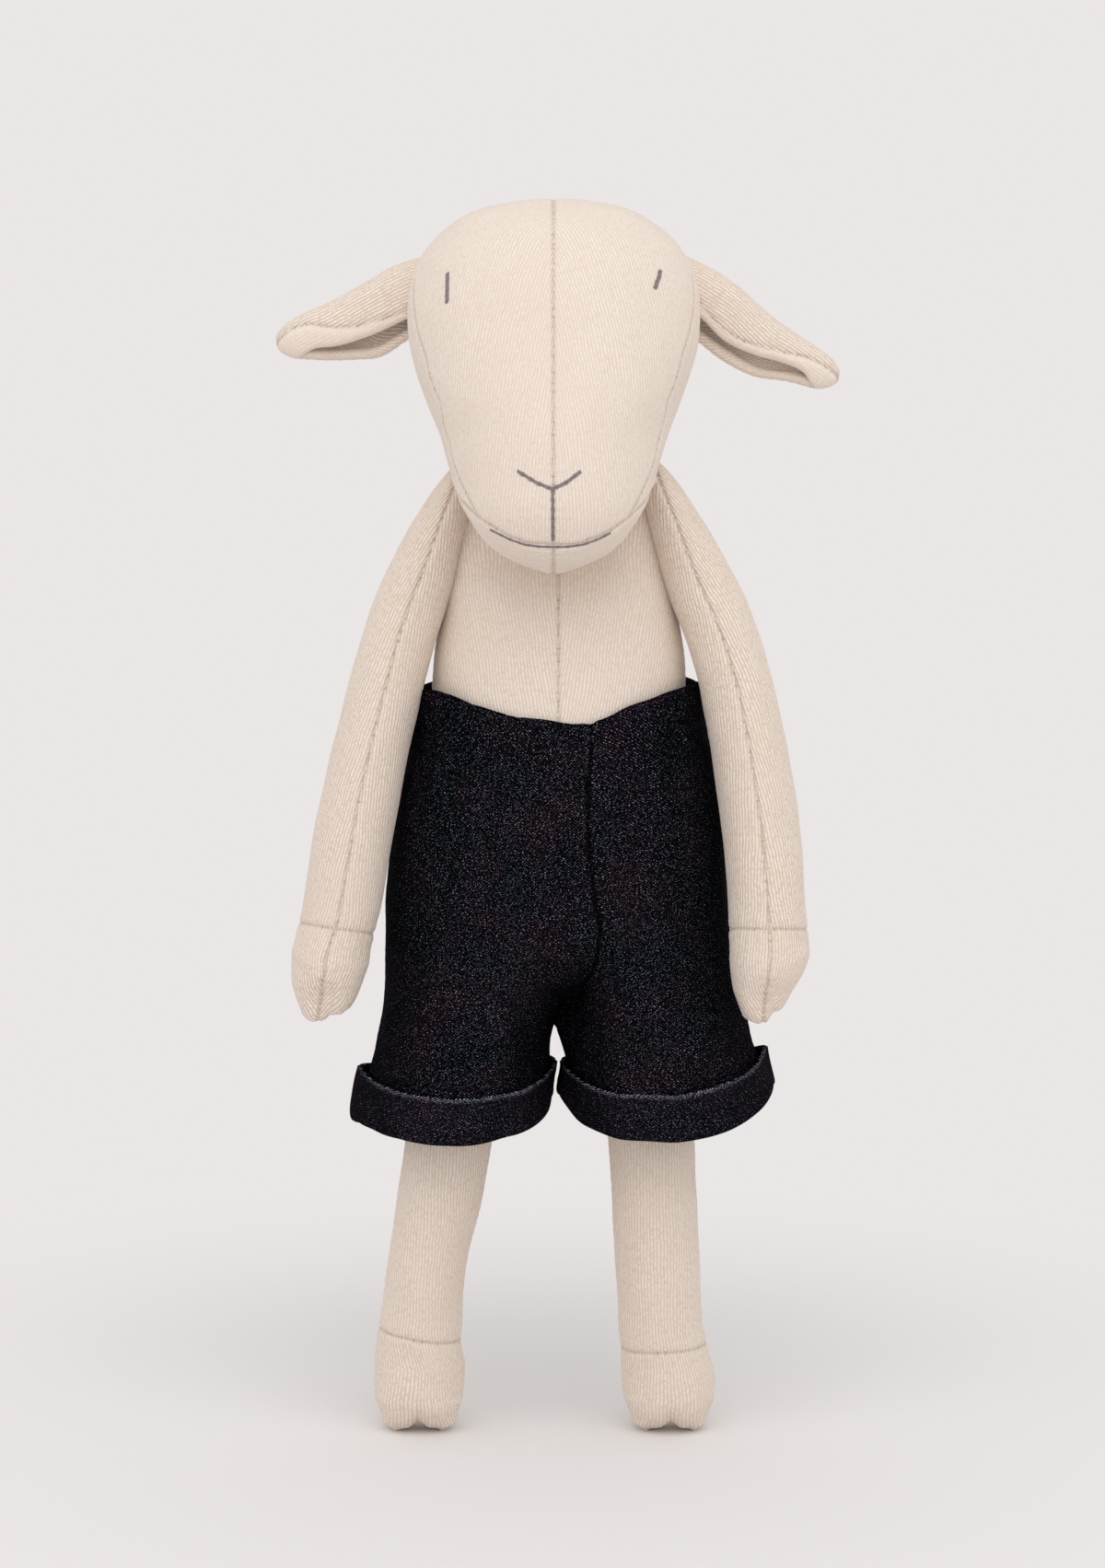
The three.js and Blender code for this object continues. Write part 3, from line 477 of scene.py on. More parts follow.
def makeVelour(name, look):
    material, tree, shader = newMaterial(name)
    uv = addNode(tree, "UVMap", {"uv_map": "cloth"})
    parts = addNode(tree, "SeparateXYZ", i0=uv)
    sway = addNode(tree, "TexNoise", {"Scale": 0.08, "Detail": 2}, Vector=uv)
    swayed = addNode(tree, "Math", {"operation": "MULTIPLY_ADD", 1: 2 * look["sway"]}, i0=sway, i2=parts.outputs["X"])
    jitter = addNode(tree, "TexNoise", {"Scale": 0.7, "Detail": 2}, Vector=uv)
    across = addNode(tree, "Math", {"operation": "MULTIPLY_ADD", 1: 2 * look["jitter"]}, i0=jitter, i2=swayed)
    wales = addNode(tree, "Math", {"operation": "DIVIDE", 1: look["wale"]}, i0=across)
    angle = addNode(tree, "Math", {"operation": "MULTIPLY", 1: 2 * math.pi}, i0=wales)
    wave = addNode(tree, "Math", {"operation": "COSINE"}, i0=angle)
    rib = addNode(tree, "MapRange", {"From Min": 1, "From Max": -1}, Value=wave)
    number = addNode(tree, "Math", {"operation": "FLOOR"}, i0=wales)
    column = addNode(tree, "Math", {"operation": "MULTIPLY", 1: 5.37}, i0=number)
    row = addNode(tree, "Math", {"operation": "DIVIDE", 1: look["loop"]}, i0=parts.outputs["Y"])
    cell = addNode(tree, "CombineXYZ", i0=column, i1=row)
    yarn = addNode(tree, "TexNoise", {"Scale": 1, "Detail": 1}, Vector=cell)
    loops = addNode(tree, "MapRange", {"From Min": 0.36, "From Max": 0.6, "To Min": 0.3, "To Max": 1}, Value=yarn)
    pile = addNode(tree, "Math", {"operation": "MULTIPLY"}, i0=rib, i1=loops)
    fuzz = addNode(tree, "TexNoise", {"Scale": 1.9, "Detail": 2, "Roughness": 0.7}, Vector=uv)
    fuzzed = addNode(tree, "Math", {"operation": "MULTIPLY_ADD", 1: 0.55}, i0=fuzz, i2=pile)
    ramp = addNode(tree, "ValToRGB", Fac=fuzzed)
    setStops(ramp, (0.22, look["valley"]), (0.9, look["crest"]))
    flatness = addNode(tree, "Attribute", {"attribute_name": "brushed"}).outputs["Fac"]
    brushed = addNode(tree, "Mix", {"data_type": "RGBA", 7: linear(look["brushed"])}, i0=flatness, i6=ramp)
    position = addNode(tree, "TexCoord").outputs["Object"]
    patches = addNode(tree, "TexNoise", {"Scale": 26, "Detail": 4}, Vector=position)
    handled = addNode(tree, "MapRange", {"From Min": 0.35, "From Max": 0.75, "To Max": 0.3}, Value=patches)
    worn = addNode(tree, "Mix", {"data_type": "RGBA", 7: linear(look["worn"])}, i0=handled, i6=brushed.outputs[2])
    # Painted shade: the colour darkens in a thin line along each seam and in irregular dots beside it. This stands for
    # the shade in the seam's groove and its stitch dents.
    away = addNode(tree, "Attribute", {"attribute_name": "seamAway"}).outputs["Fac"]
    place = addNode(tree, "Attribute", {"attribute_name": "seamPlace"}).outputs["Fac"]
    soft = {"interpolation_type": "SMOOTHSTEP"}
    shade = addNode(tree, "MapRange", {**soft, "From Max": 0.7, "To Min": 0.24, "To Max": 0}, Value=away)
    pulls = addNode(tree, "TexNoise", {"noise_dimensions": "1D", "Scale": 0.62, "Detail": 4}, W=place)
    pulled = addNode(tree, "MapRange", {**soft, "From Min": 0.5, "From Max": 0.75, "To Max": 0.36}, Value=pulls)
    near = addNode(tree, "MapRange", {**soft, "From Min": 0.3, "From Max": 1, "To Min": 1, "To Max": 0}, Value=away)
    stitchDentShade = addNode(tree, "Math", {"operation": "MULTIPLY"}, i0=pulled, i1=near)
    seamShadeMask = addNode(tree, "Math", {"operation": "ADD", "use_clamp": True}, i0=shade, i1=stitchDentShade)
    sewn = addNode(tree, "Mix", {"data_type": "RGBA", 7: linear(look["paintedSeamShade"])}, i0=seamShadeMask, i6=worn.outputs[2])
    nap = addNode(tree, "MapRange", {"To Min": look["nap"], "To Max": 0.35 * look["nap"]}, Value=flatness)
    dip = addNode(tree, "MapRange", {**soft, "From Max": 1.1, "To Min": -look["seamDip"], "To Max": 0}, Value=away)
    height = addNode(tree, "Math", {"operation": "MULTIPLY_ADD"}, i0=fuzzed, i1=nap, i2=dip)
    bump = addNode(tree, "Bump", {"Strength": 0.8, "Distance": mm}, Height=height)
    plug(shader, look["surface"], Base_Color=sewn.outputs[2], Normal=bump)
    return material


velour = makeVelour("ribbed_cotton_velour", velourLook)


# Stuffed covers keep the faces that no other piece covers
def looksOut(hidden):
    trees = [surfaceTree(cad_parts[node].data) for node in hidden]

    def keep(panel, centre, normal, corners):
        start = centre + normal * sewing["start"]
        return not any(tree.ray_cast(start, normal, sewing["sight"])[0] for tree in trees)

    return keep


coverShapes = {
    "head": {
        "trim": 1, "filling": "head_filling", "hidden": ["neck"], "seed": 1, "leans": {}, "pressure": 4, "brushed": 0.5,
        "panels": ["face_left", "face_right", "head_side_left", "head_side_right", "chin_left", "chin_right"],
        "pulls": [((0, -45, 338), 42, (0, 0, -1.4))],
    },
    "torso": {
        "trim": 0, "filling": "torso_filling", "hidden": [], "seed": 2, "leans": {0: 16, 1: -16}, "pressure": 4,
        "brushed": 0.35, "panels": ["chest_left", "chest_right", "torso_back"],
        "pulls": [
            ((-30, 12, 342), 26, (-7, 0, 7)), ((34, 12, 344), 26, (6, 0, 7)),
            ((-38, 14, 302), 36, (-4, 0, 0)), ((43, 14, 302), 36, (4.5, 0, 0)),
        ],
    },
}
limbs = {
    "arm": {"parts": ("arm_outer", "arm_inner", "hand_hoof_outer", "hand_hoof_inner"), "seed": 3, "brushed": 0.1},
    "leg": {"parts": ("leg_front", "leg_back", "foot_hoof_front", "foot_hoof_back"), "seed": 6, "brushed": 0.25},
}
limbPulls = {
    "arm_left": [((38.2, 12, 352), 24, (-4, 0, 5))], "arm_right": [((-33.8, 12, 352), 24, (4, 0, 5))],
    "leg_left": [], "leg_right": [((-28, 12, 64), 28, (-2.4, 0, 0))],
}
for side, way in sides.items():
    for limb, look in limbs.items():
        form = f"{limb}_{side}"
        coverShapes[form] = {
            "trim": 0, "filling": f"{limb}_filling_{side}", "hidden": [], "seed": look["seed"] + way, "leans": {},
            "pressure": 60, "brushed": look["brushed"], "panels": [f"{part}_{side}" for part in look["parts"]],
            "pulls": limbPulls[form],
        }

# Cloven ends, from the outlines in the photograph
endShapes = {
    "arm_right": {
        "middle": (-81.5, -84),
        "under": [(-88.4, 0.4), (-86, 0), (-83.5, 0.3), (-81.8, 1.8), (-80.9, 2.8), (-79.5, 2.8), (-76.1, 3), (-72, 6)],
        "left": [(0, -91), (3.8, -92), (15.2, -94.6), (26.6, -94.8), (39.3, -92.5)],
        "right": [(0, -72), (3.1, -72), (10, -69.6), (21.1, -66.4), (35.2, -65.1)],
    },
    "arm_left": {
        "middle": (76, 76),
        "under": [(70.7, 0.8), (74.3, 0), (77, 0.7), (78.5, 3.6), (79.6, 5), (81, 5), (83.2, 6), (86, 9.4)],
        "left": [(0, 68.5), (4, 67.9), (13.1, 65.2), (24.5, 63.6), (38.2, 64)],
        "right": [(0, 86), (4, 86), (10.4, 87.5), (19, 90.9), (25.9, 93), (37.2, 92.5)],
    },
    "leg_right": {
        "middle": (-55, -50),
        "under": [(-57, 0), (-53.6, 0.7), (-51.3, 2.6), (-50, 3.9), (-48.7, 2.8), (-46.4, 0.7), (-41, 0)],
        "left": [(0, -62), (4.1, -63.5), (12.6, -66.4), (25.7, -67.2), (35.6, -65.6)],
        "right": [(0, -36.5), (3.6, -35.4), (12.1, -33.1), (25.2, -32.7), (35.1, -34.3)],
    },
    "leg_left": {
        "middle": (42, 44),
        "under": [(34.5, 0), (40.4, 0.6), (42.7, 2.2), (44, 3.5), (45.3, 2.4), (47.6, 0.6), (53, 0)],
        "left": [(0, 30.2), (3.5, 29.4), (7.5, 28.2), (14.2, 26.2), (24.1, 25.4), (30.5, 25.8)],
        "right": [(0, 56.6), (3.5, 57.6), (11, 60.3), (17.4, 61), (24.1, 60.5), (30.5, 58.6)],
    },
}


def finishCover(obj, brushed, body, replaced):
    setPointValues(obj.data, "brushed", brushed)
    obj.data.shade_smooth()
    obj.data.materials.append(velour)
    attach(obj, body)
    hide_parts(*replaced)


covers = {}
for form, look in coverShapes.items():
    covered = look["panels"] + [look["filling"]]
    cover = sewPanels(form + "_cover", look["panels"], looksOut(covered + look["hidden"]), [sewnTogether])
    closeHoles(cover, look["trim"])
    layOut(cover, look["leans"])
    dropFilledSeams(cover, len(look["panels"]))
    refine(cover, 2)
    stuff(cover, look["pressure"])
    refine(cover, 2, rounds=0)
    grab(cover, look["pulls"])
    if form in endShapes:
        shapeEnd(cover, endShapes[form])
    sinkSeams(cover, depth=0.5, width=0.8, pucker=0.13, lumps=0.35, seed=look["seed"])
    finishCover(cover, look["brushed"], form, covered)
    covers[form] = cover
print("stuffed covers done")


# Ears: a padded leaf whose front half is folded over and down, with its lining rolled out below the seam.
# Places run along the ear from its root and up across it, in millimetres. The last part of its length closes round.
earShape = {
    "thick": 4.4, "slim": 0.44, "round": 40, "edge": 9, "rows": 84, "behind": 9, "close": 7, "straight": 0.85,
    "closing": 84, "foldEnd": 262, "backSeam": 14, "grain": 36,
    "right": {
        "root": (-50.1, 20, 418.7), "tip": (-99.3, 20, 404.1),
        "top": [(-9, 15), (4, 14.4), (17.5, 11.4), (31.6, 8.7), (40, 7.6), (46.3, 6.1), (51.5, 5)],
        "bottom": [(-9, -9), (6.3, -12.7), (19.8, -15.6), (25.2, -14.3), (37.3, -11.1), (46, -8), (51.5, -6.5)],
        "lip": [(-9, -4), (3.2, -4.9), (19.6, -7), (32, -7), (40, -6), (44, -7), (47, -9), (51.5, -9)],
        "seam": [(-9, -2.9), (4.4, -2.9), (15, -2.6), (26.6, -1.4), (34, 1.5), (39, 4), (45, 4), (51.5, 2)],
        "depth": [(-9, 15), (10, 15), (30, 13), (44, 9.5), (51.5, 7)],
    },
    "left": {
        "root": (50.1, 20, 421.4), "tip": (103.8, 20, 392.1),
        "top": [(-9, 11), (2.2, 12), (13.6, 11.2), (23.3, 8.9), (33, 6.8), (45.3, 5.8), (56.2, 4.4), (62, 3.8)],
        "bottom": [(-9, -10), (9.8, -13.6), (23.8, -15.4), (35, -15), (46.1, -10.9), (56, -8.5), (62, -7)],
        "lip": [
            (-9, -4), (5.7, -5.6), (17.5, -8.2), (30.4, -8), (41.1, -5.6), (50.2, -5.4), (54, -7.5), (57, -9.5),
            (62, -9.5),
        ],
        "seam": [(-9, -1), (4.7, -1.6), (14.5, -5.4), (21.4, -5.9), (29.1, -4.7), (38.6, -2), (47.8, 0.7), (62, 1)],
        "depth": [(-9, 15), (10, 15), (32, 13), (52, 10), (62, 7)],
    },
}


# A smooth curve through given places
def curveAt(points, where):
    x, y = np.array(points, float).T
    slope = np.gradient(y, x)
    i = int(np.clip(np.searchsorted(x, where) - 1, 0, len(x) - 2))
    span = x[i + 1] - x[i]
    t = min(max((where - x[i]) / span, 0), 1)
    start, end = y[i] * (1 + 2 * t) + slope[i] * span * t, y[i + 1] * (3 - 2 * t) - slope[i + 1] * span * (1 - t)
    return start * (1 - t) ** 2 + end * t**2


def sewEar(side):
    look = earShape[side]
    root, tip = Vector(look["root"]), Vector(look["tip"])
    along = (tip - root).normalized()
    above = Vector((0, -1, 0)).cross(along) * sides[side]
    body, behind, straight = (tip - root).length + 1 - earShape["close"], earShape["behind"], earShape["straight"]
    bm = bmesh.new()
    rings, flats, away, brushed, places = [], [], [], [], []
    for row in range(earShape["rows"] + 1):
        share = row / earShape["rows"]
        if share < straight:
            place, size = -behind + (body + behind) * share / straight, 1
        else:
            turn = math.radians(earShape["closing"]) * (share - straight) / (1 - straight)
            place, size = body + earShape["close"] * math.sin(turn), math.cos(turn)
        top, bottom, lip, seam, deep = [curveAt(look[k], place) for k in ("top", "bottom", "lip", "seam", "depth")]
        thick = min(earShape["thick"], earShape["slim"] * deep) / 2
        middle, half = (top + bottom) / 2, (top - bottom) / 2
        reach, rise = deep / 2 - thick, half - thick
        start = math.asin(min(max((lip + thick - middle) / rise, -0.995), 0.9))
        end = math.radians(earShape["foldEnd"])
        turns = [start + (end - start) * k / earShape["round"] for k in range(earShape["round"] + 1)]

        def edgeOf(turn, offset):
            normal = Vector((math.cos(turn) / reach, math.sin(turn) / rise)).normalized()
            return Vector((reach * math.cos(turn), rise * math.sin(turn))) + normal * offset

        outer = [edgeOf(turn, thick) for turn in turns]
        inner = [edgeOf(turn, -thick) for turn in reversed(turns)]
        ends = []
        for turn, way in ((end, 1), (start, -1)):
            centre = edgeOf(turn, 0)
            spoke = edgeOf(turn, thick * way) - centre
            swing = [math.pi * k / (earShape["edge"] + 1) for k in range(1, earShape["edge"] + 1)]
            ends.append([
                centre + Vector((
                    spoke.x * math.cos(a) - spoke.y * math.sin(a), spoke.x * math.sin(a) + spoke.y * math.cos(a)
                ))
                for a in swing
            ])
        ring = outer + ends[0] + inner + ends[1]
        arcs = [0]
        for a, b in zip(ring, ring[1:] + ring[:1]):
            arcs.append(arcs[-1] + (b - a).length * max(size, 0.2))
        seamTurn = math.asin(min(max((seam - middle) / half, -1), 1))
        seamArc = np.interp(seamTurn, turns, arcs[: len(turns)])
        backArc = np.interp(end - math.radians(earShape["backSeam"]), turns, arcs[: len(turns)])
        topArc = np.interp(math.pi / 2, turns, arcs[: len(turns)])
        points = []
        for k, (front, height) in enumerate(ring):
            where = root + along * place + above * (middle + height * size) + Vector((0, -front * size, 0))
            points.append(bm.verts.new(where * mm))
            onFront = min(abs(arcs[k] - seamArc), abs(arcs[k] - backArc))
            away.append(onFront if k < len(turns) else seamLook["far"])
            rolled = arcs[k] < seamArc or arcs[k] > arcs[-2] - thick * math.pi - 2
            brushed.append(0.8 if rolled else 0.1 if k < len(turns) else 0.3)
            places.append(place)
        rings.append(points)
        flats.append([(arc - topArc, place) for arc in arcs])

    def clothPlace(column, row, face):
        x, y = flats[row][column]
        turned = math.radians(earShape["grain"]) if face > earShape["round"] else 0
        return x * math.cos(turned) - y * math.sin(turned), x * math.sin(turned) + y * math.cos(turned)

    joinRings(bm, rings, clothPlace)
    cover = objectFrom(bm, f"ear_{side}_cover")
    seams = np.array(away), np.array(places)
    setPointValues(cover.data, "seamAway", seams[0])
    setPointValues(cover.data, "seamPlace", seams[1])
    sinkSeams(cover, depth=0.45, width=0.8, pucker=0.2, lumps=0.5, seed=9 + sides[side], seams=seams)
    finishCover(cover, np.array(brushed), "ear_" + side, ["ear_back_" + side, "ear_lining_" + side])


for side in sides:
    sewEar(side)
print("ears done")


# Neck: a short stuffed tube between the collar and the head, in millimetres
neckShape = {"around": 40, "rings": 12, "low": 341, "high": 374, "waist": 14, "flare": 3.5, "end": 0.55}
neckX, neckY, _ = [(low + high) / 2 for low, high in zip(*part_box("neck"))]
neckRise = (neckShape["high"] - neckShape["low"]) / neckShape["rings"]
turns = [2 * math.pi * k / neckShape["around"] for k in range(neckShape["around"])]
radii = []
for row in range(neckShape["rings"] + 1):
    share = row / neckShape["rings"]
    radius = neckShape["waist"] + neckShape["flare"] * (2 * share - 1) ** 2
    radii.append(radius * (neckShape["end"] if share in (0, 1) else 1) * mm)
bm = bmesh.new()
rings = [
    [
        bm.verts.new((
            neckX + radius * math.cos(turn), neckY + radius * math.sin(turn), (neckShape["low"] + row * neckRise) * mm
        ))
        for turn in turns
    ]
    for row, radius in enumerate(radii)
]
neckPitch = 2 * math.pi * max(radii) / neckShape["around"] / mm
joinRings(bm, rings, lambda column, row, _: (column * neckPitch, row * neckRise))
neckCover = objectFrom(bm, "neck_cover")
setPointValues(neckCover.data, "seamAway", seamLook["far"])
setPointValues(neckCover.data, "seamPlace", 0)
finishCover(neckCover, 0.3, "neck", ["neck"])


# Embroidery: two or three twisted strands in back stitches, laid on the face
threadLook = {
    "twist": 2.6 * mm, "stitch": 3.4 * mm, "overlap": 0.25 * mm, "around": 8, "step": 0.3 * mm, "pitch": 0.35,
    "shades": ("#6d5f60", "#a19193"), "surface": {"Roughness": 0.7, "Sheen Weight": 0.3, "Sheen Roughness": 0.4},
}


# Stranded cotton, soft, matt and a little uneven in its grey
def makeThread():
    material, tree, shader = newMaterial("stranded_cotton_thread")
    uv = addNode(tree, "UVMap", {"uv_map": "cloth"})
    plies = addNode(tree, "TexNoise", {"Scale": 2.2, "Detail": 2, "Roughness": 0.6}, Vector=uv)
    ramp = addNode(tree, "ValToRGB", Fac=plies)
    setStops(ramp, (0.3, threadLook["shades"][0]), (0.75, threadLook["shades"][1]))
    bump = addNode(tree, "Bump", {"Strength": 0.6, "Distance": 0.08 * mm}, Height=plies)
    plug(shader, threadLook["surface"], Base_Color=ramp, Normal=bump)
    return material


threadCloth = makeThread()
headTree = surfaceTree(covers["head"].data)


# One strand, its rings carried along the path without a twist of their own
def tube(bm, points, radii):
    rings = []
    across = (points[1] - points[0]).normalized().orthogonal().normalized()
    for i, point in enumerate(points):
        ahead = (points[min(i + 1, len(points) - 1)] - points[max(i - 1, 0)]).normalized()
        across = (across - ahead * across.dot(ahead)).normalized()
        other = ahead.cross(across)
        rings.append([
            bm.verts.new(point + (across * math.cos(a) + other * math.sin(a)) * radii[i])
            for a in (2 * math.pi * k / threadLook["around"] for k in range(threadLook["around"]))
        ])
    joinRings(bm, rings, lambda column, row, _: (column * threadLook["pitch"], row * threadLook["step"] / mm))


# Each strand dives into the cloth at both ends of a stitch and winds round its neighbour
def embroider(node, path, width, radius):
    knots = [Vector((x * mm, 0, z * mm)) for x, z in path]
    lengths = [0]
    for a, b in zip(knots, knots[1:]):
        lengths.append(lengths[-1] + (b - a).length)
    count = max(1, round(lengths[-1] / threadLook["stitch"]))

    def onPath(distance):
        distance = min(max(distance, 0), lengths[-1])
        for i in range(len(knots) - 1):
            if distance <= lengths[i + 1]:
                break
        share = (distance - lengths[i]) / max(lengths[i + 1] - lengths[i], 1e-9)
        flat = knots[i].lerp(knots[i + 1], share)
        place, normal, _, _ = headTree.ray_cast(Vector((flat.x, -0.2, flat.z)), Vector((0, 1, 0)))
        return place, normal

    bm = bmesh.new()
    for stitch in range(count):
        start = stitch * lengths[-1] / count - threadLook["overlap"]
        stop = (stitch + 1) * lengths[-1] / count + threadLook["overlap"]
        steps = max(6, round((stop - start) / threadLook["step"]))
        for strand in range(width):
            spread = (strand - (width - 1) / 2) * 1.5 * radius
            points, radii = [], []
            for k in range(steps + 1):
                share = k / steps
                place, normal = onPath(start + share * (stop - start))
                beyond, _ = onPath(start + min(share + 0.02, 1) * (stop - start) + 0.01 * mm)
                before, _ = onPath(start + max(share - 0.02, 0) * (stop - start) - 0.01 * mm)
                along = (beyond - before).normalized()
                side = normal.cross(along).normalized()
                dive = math.sin(math.pi * share) ** 0.35
                turn = 2 * math.pi * (share * (stop - start) / threadLook["twist"]) + math.pi * strand
                out = radius * (1.15 * dive - 0.9 + 0.25 * math.sin(turn))
                aside = spread * (0.55 + 0.45 * dive) + radius * 0.25 * math.cos(turn)
                points.append(place + normal * out + side * aside)
                radii.append(radius * (0.6 + 0.4 * dive))
            tube(bm, points, radii)
    thread = objectFrom(bm, node.replace("stitches", "threads"))
    thread.data.shade_smooth()
    thread.data.materials.append(threadCloth)
    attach(thread, "head")
    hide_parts(node)


facePaths = {
    "eye_stitches_left": ([(38.3, 431), (37.4, 427.8), (36.1, 424.6)], 3, 0.35 * mm),
    "eye_stitches_right": ([(-37.2, 430.1), (-37.2, 424.5), (-37.3, 419.6)], 3, 0.35 * mm),
    "nose_stitches_left": ([(0.3, 356.5), (4.8, 358.7), (9.8, 362.4)], 2, 0.38 * mm),
    "nose_stitches_right": ([(-0.4, 356.5), (-5.6, 358.6), (-12.2, 362.5)], 2, 0.38 * mm),
    "nose_line_stitches": ([(0, 357), (0.2, 338.2)], 2, 0.38 * mm),
    "mouth_stitches": (
        [(-22, 341.6), (-15.3, 338.5), (-9.7, 336.6), (-4.7, 336), (0.4, 335.9),
         (5.5, 336), (10.6, 336.6), (16.2, 338.5), (20.3, 340.5)], 2, 0.25 * mm),
}
for node, (path, width, radius) in facePaths.items():
    embroider(node, path, width, radius)
print("face embroidered")


# Denim shorts: raw black twill, its warp nearly black and matt, with small pale specks where the weft shows, and a
# reverse where the weft lies on top. The specks are drawn at about one and a half times their real size, so that they
# still show from the camera.
denimLook = {
    "twill": 0.81, "rise": 34, "speck": (1.45, 2.4), "surface": {"Roughness": 1, "Specular IOR Level": 0.02},
    "tones": {
        "twill": {"warp": "#030406", "tinge": "#0b060d", "weft": "#acbace", "weftTinge": "#cab6c6"},
        "reverse": {"warp": "#0a080d", "tinge": "#110d15", "weft": "#a9b3c4", "weftTinge": "#c4afbf"},
    },
}


def makeDenim(name, look, tones):
    material, tree, shader = newMaterial(name)
    shade = {tone: linear(colour) for tone, colour in tones.items()}
    uv = addNode(tree, "UVMap", {"uv_map": "cloth"})
    turned = addNode(tree, "Mapping", {"Rotation": (0, 0, math.radians(look["rise"]))}, Vector=uv)
    parts = addNode(tree, "SeparateXYZ", i0=turned)
    jitter = addNode(tree, "TexNoise", {"Scale": 1.1, "Detail": 1}, Vector=uv)
    shifted = addNode(tree, "Math", {"operation": "MULTIPLY_ADD", 1: 0.35}, i0=jitter, i2=parts.outputs["Y"])
    angle = addNode(tree, "Math", {"operation": "MULTIPLY", 1: 2 * math.pi / look["twill"]}, i0=shifted)
    wave = addNode(tree, "Math", {"operation": "SINE"}, i0=angle)
    rib = addNode(tree, "MapRange", {"From Min": -1, "From Max": 1}, Value=wave)
    grid = addNode(tree, "Mapping", {"Scale": (*look["speck"], 1)}, Vector=uv)
    specks = addNode(tree, "TexNoise", {"Scale": 1, "Detail": 2, "Roughness": 0.8}, Vector=grid)
    # Rubbed wear at the hems and beside the seams lifts the pale specks. Painted light on faces turned front or back
    # and painted shade in the seams also change them.
    wearAndShade = addNode(tree, "Attribute", {"attribute_name": "wearAndShade"}).outputs["Fac"]
    lifted = addNode(tree, "Math", {"operation": "MULTIPLY_ADD", 1: 0.13}, i0=wearAndShade, i2=specks)
    seen = addNode(tree, "MapRange", {"From Min": 0.6, "From Max": 0.74}, Value=lifted)
    low = addNode(tree, "MapRange", {"From Min": 0.75, "From Max": 0.2}, Value=rib)
    picks = addNode(tree, "Math", {"operation": "MULTIPLY"}, i0=seen, i1=low)
    clouds = addNode(tree, "TexNoise", {"Scale": 0.045, "Detail": 3}, Vector=uv)
    cloudy = addNode(tree, "MapRange", {"From Min": 0.4, "From Max": 0.65}, Value=clouds)
    base = addNode(tree, "Mix", {"data_type": "RGBA", 6: shade["warp"], 7: shade["tinge"]}, i0=cloudy)
    picked = addNode(tree, "Mix", {"data_type": "RGBA", 6: shade["weft"], 7: shade["weftTinge"]}, i0=cloudy)
    mixed = addNode(tree, "Mix", {"data_type": "RGBA"}, i0=picks, i6=base.outputs[2], i7=picked.outputs[2])
    height = addNode(tree, "Math", {"operation": "MULTIPLY_ADD", 1: 0.5}, i0=specks, i2=rib)
    bump = addNode(tree, "Bump", {"Strength": 0.8, "Distance": 0.12 * mm}, Height=height)
    plug(shader, look["surface"], Base_Color=mixed.outputs[2], Normal=bump)
    return material


denim, denimReverse = [
    makeDenim("raw_black_denim_" + face, denimLook, tones) for face, tones in denimLook["tones"].items()
]

shortsLook = {
    "thickness": 1.1 * mm, "legX": 32 * mm, "middleX": 2.23 * mm, "rim": 1.15 * mm, "turnUpRim": 1.9 * mm,
    "facing": 9 * mm, "foldDrop": 0.9 * mm, "waistLift": 0.7 * mm, "halfway": 200 * mm, "bendFrom": 150 * mm,
    "bendTo": (20 * mm, 125 * mm), "fork": 16 * mm, "cut": {"width": 0.262, "length": 0.205, "area": 0.0426},
}
shortsNodes = [f"shorts_{face}_{side}" for side in sides for face in ("front", "back")]
turnUpNodes = [f"turn_up_{face}_{side}" for side in sides for face in ("front", "back")]
shortsLow = [min(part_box(node)[0][i] for node in shortsNodes) for i in range(3)]
shortsHigh = [max(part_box(node)[1][i] for node in shortsNodes) for i in range(3)]
middleX = shortsLook["middleX"]
middleY = (shortsLow[1] + shortsHigh[1]) / 2


def facesOut(panel, centre, normal, corners):
    outward = (centre.x - sides[panel.split("_")[-1]] * shortsLook["legX"] - middleX, centre.y - middleY)
    shortest = min((a - b).length for a, b in zip(corners, corners[1:] + corners[:1]))
    rim = shortsLook["turnUpRim" if panel.startswith("turn") else "rim"]
    return normal.x * outward[0] + normal.y * outward[1] > 0 and shortest > rim


def nearFork(low, high):
    return lambda co: abs(co.x - middleX) < shortsLook["fork"] and low * mm < co.z < high * mm


shortsJoins = [sewnTogether, (2.6 * mm, nearFork(0, 196)), (5.4 * mm, nearFork(152, 157))]


def rimLoops(bm):
    edges = {edge for edge in bm.edges if edge.is_boundary}
    loops = []
    while edges:
        edge = edges.pop()
        loop = [edge.verts[0], edge.verts[1]]
        while True:
            onward = [e for e in loop[-1].link_edges if e in edges]
            if not onward:
                break
            edges.remove(onward[0])
            loop.append(onward[0].other_vert(loop[-1]))
        loops.append(loop[:-1] if loop[0] == loop[-1] else loop)
    return loops


def meanOf(loop, axis):
    return sum(v.co[axis] for v in loop) / len(loop)


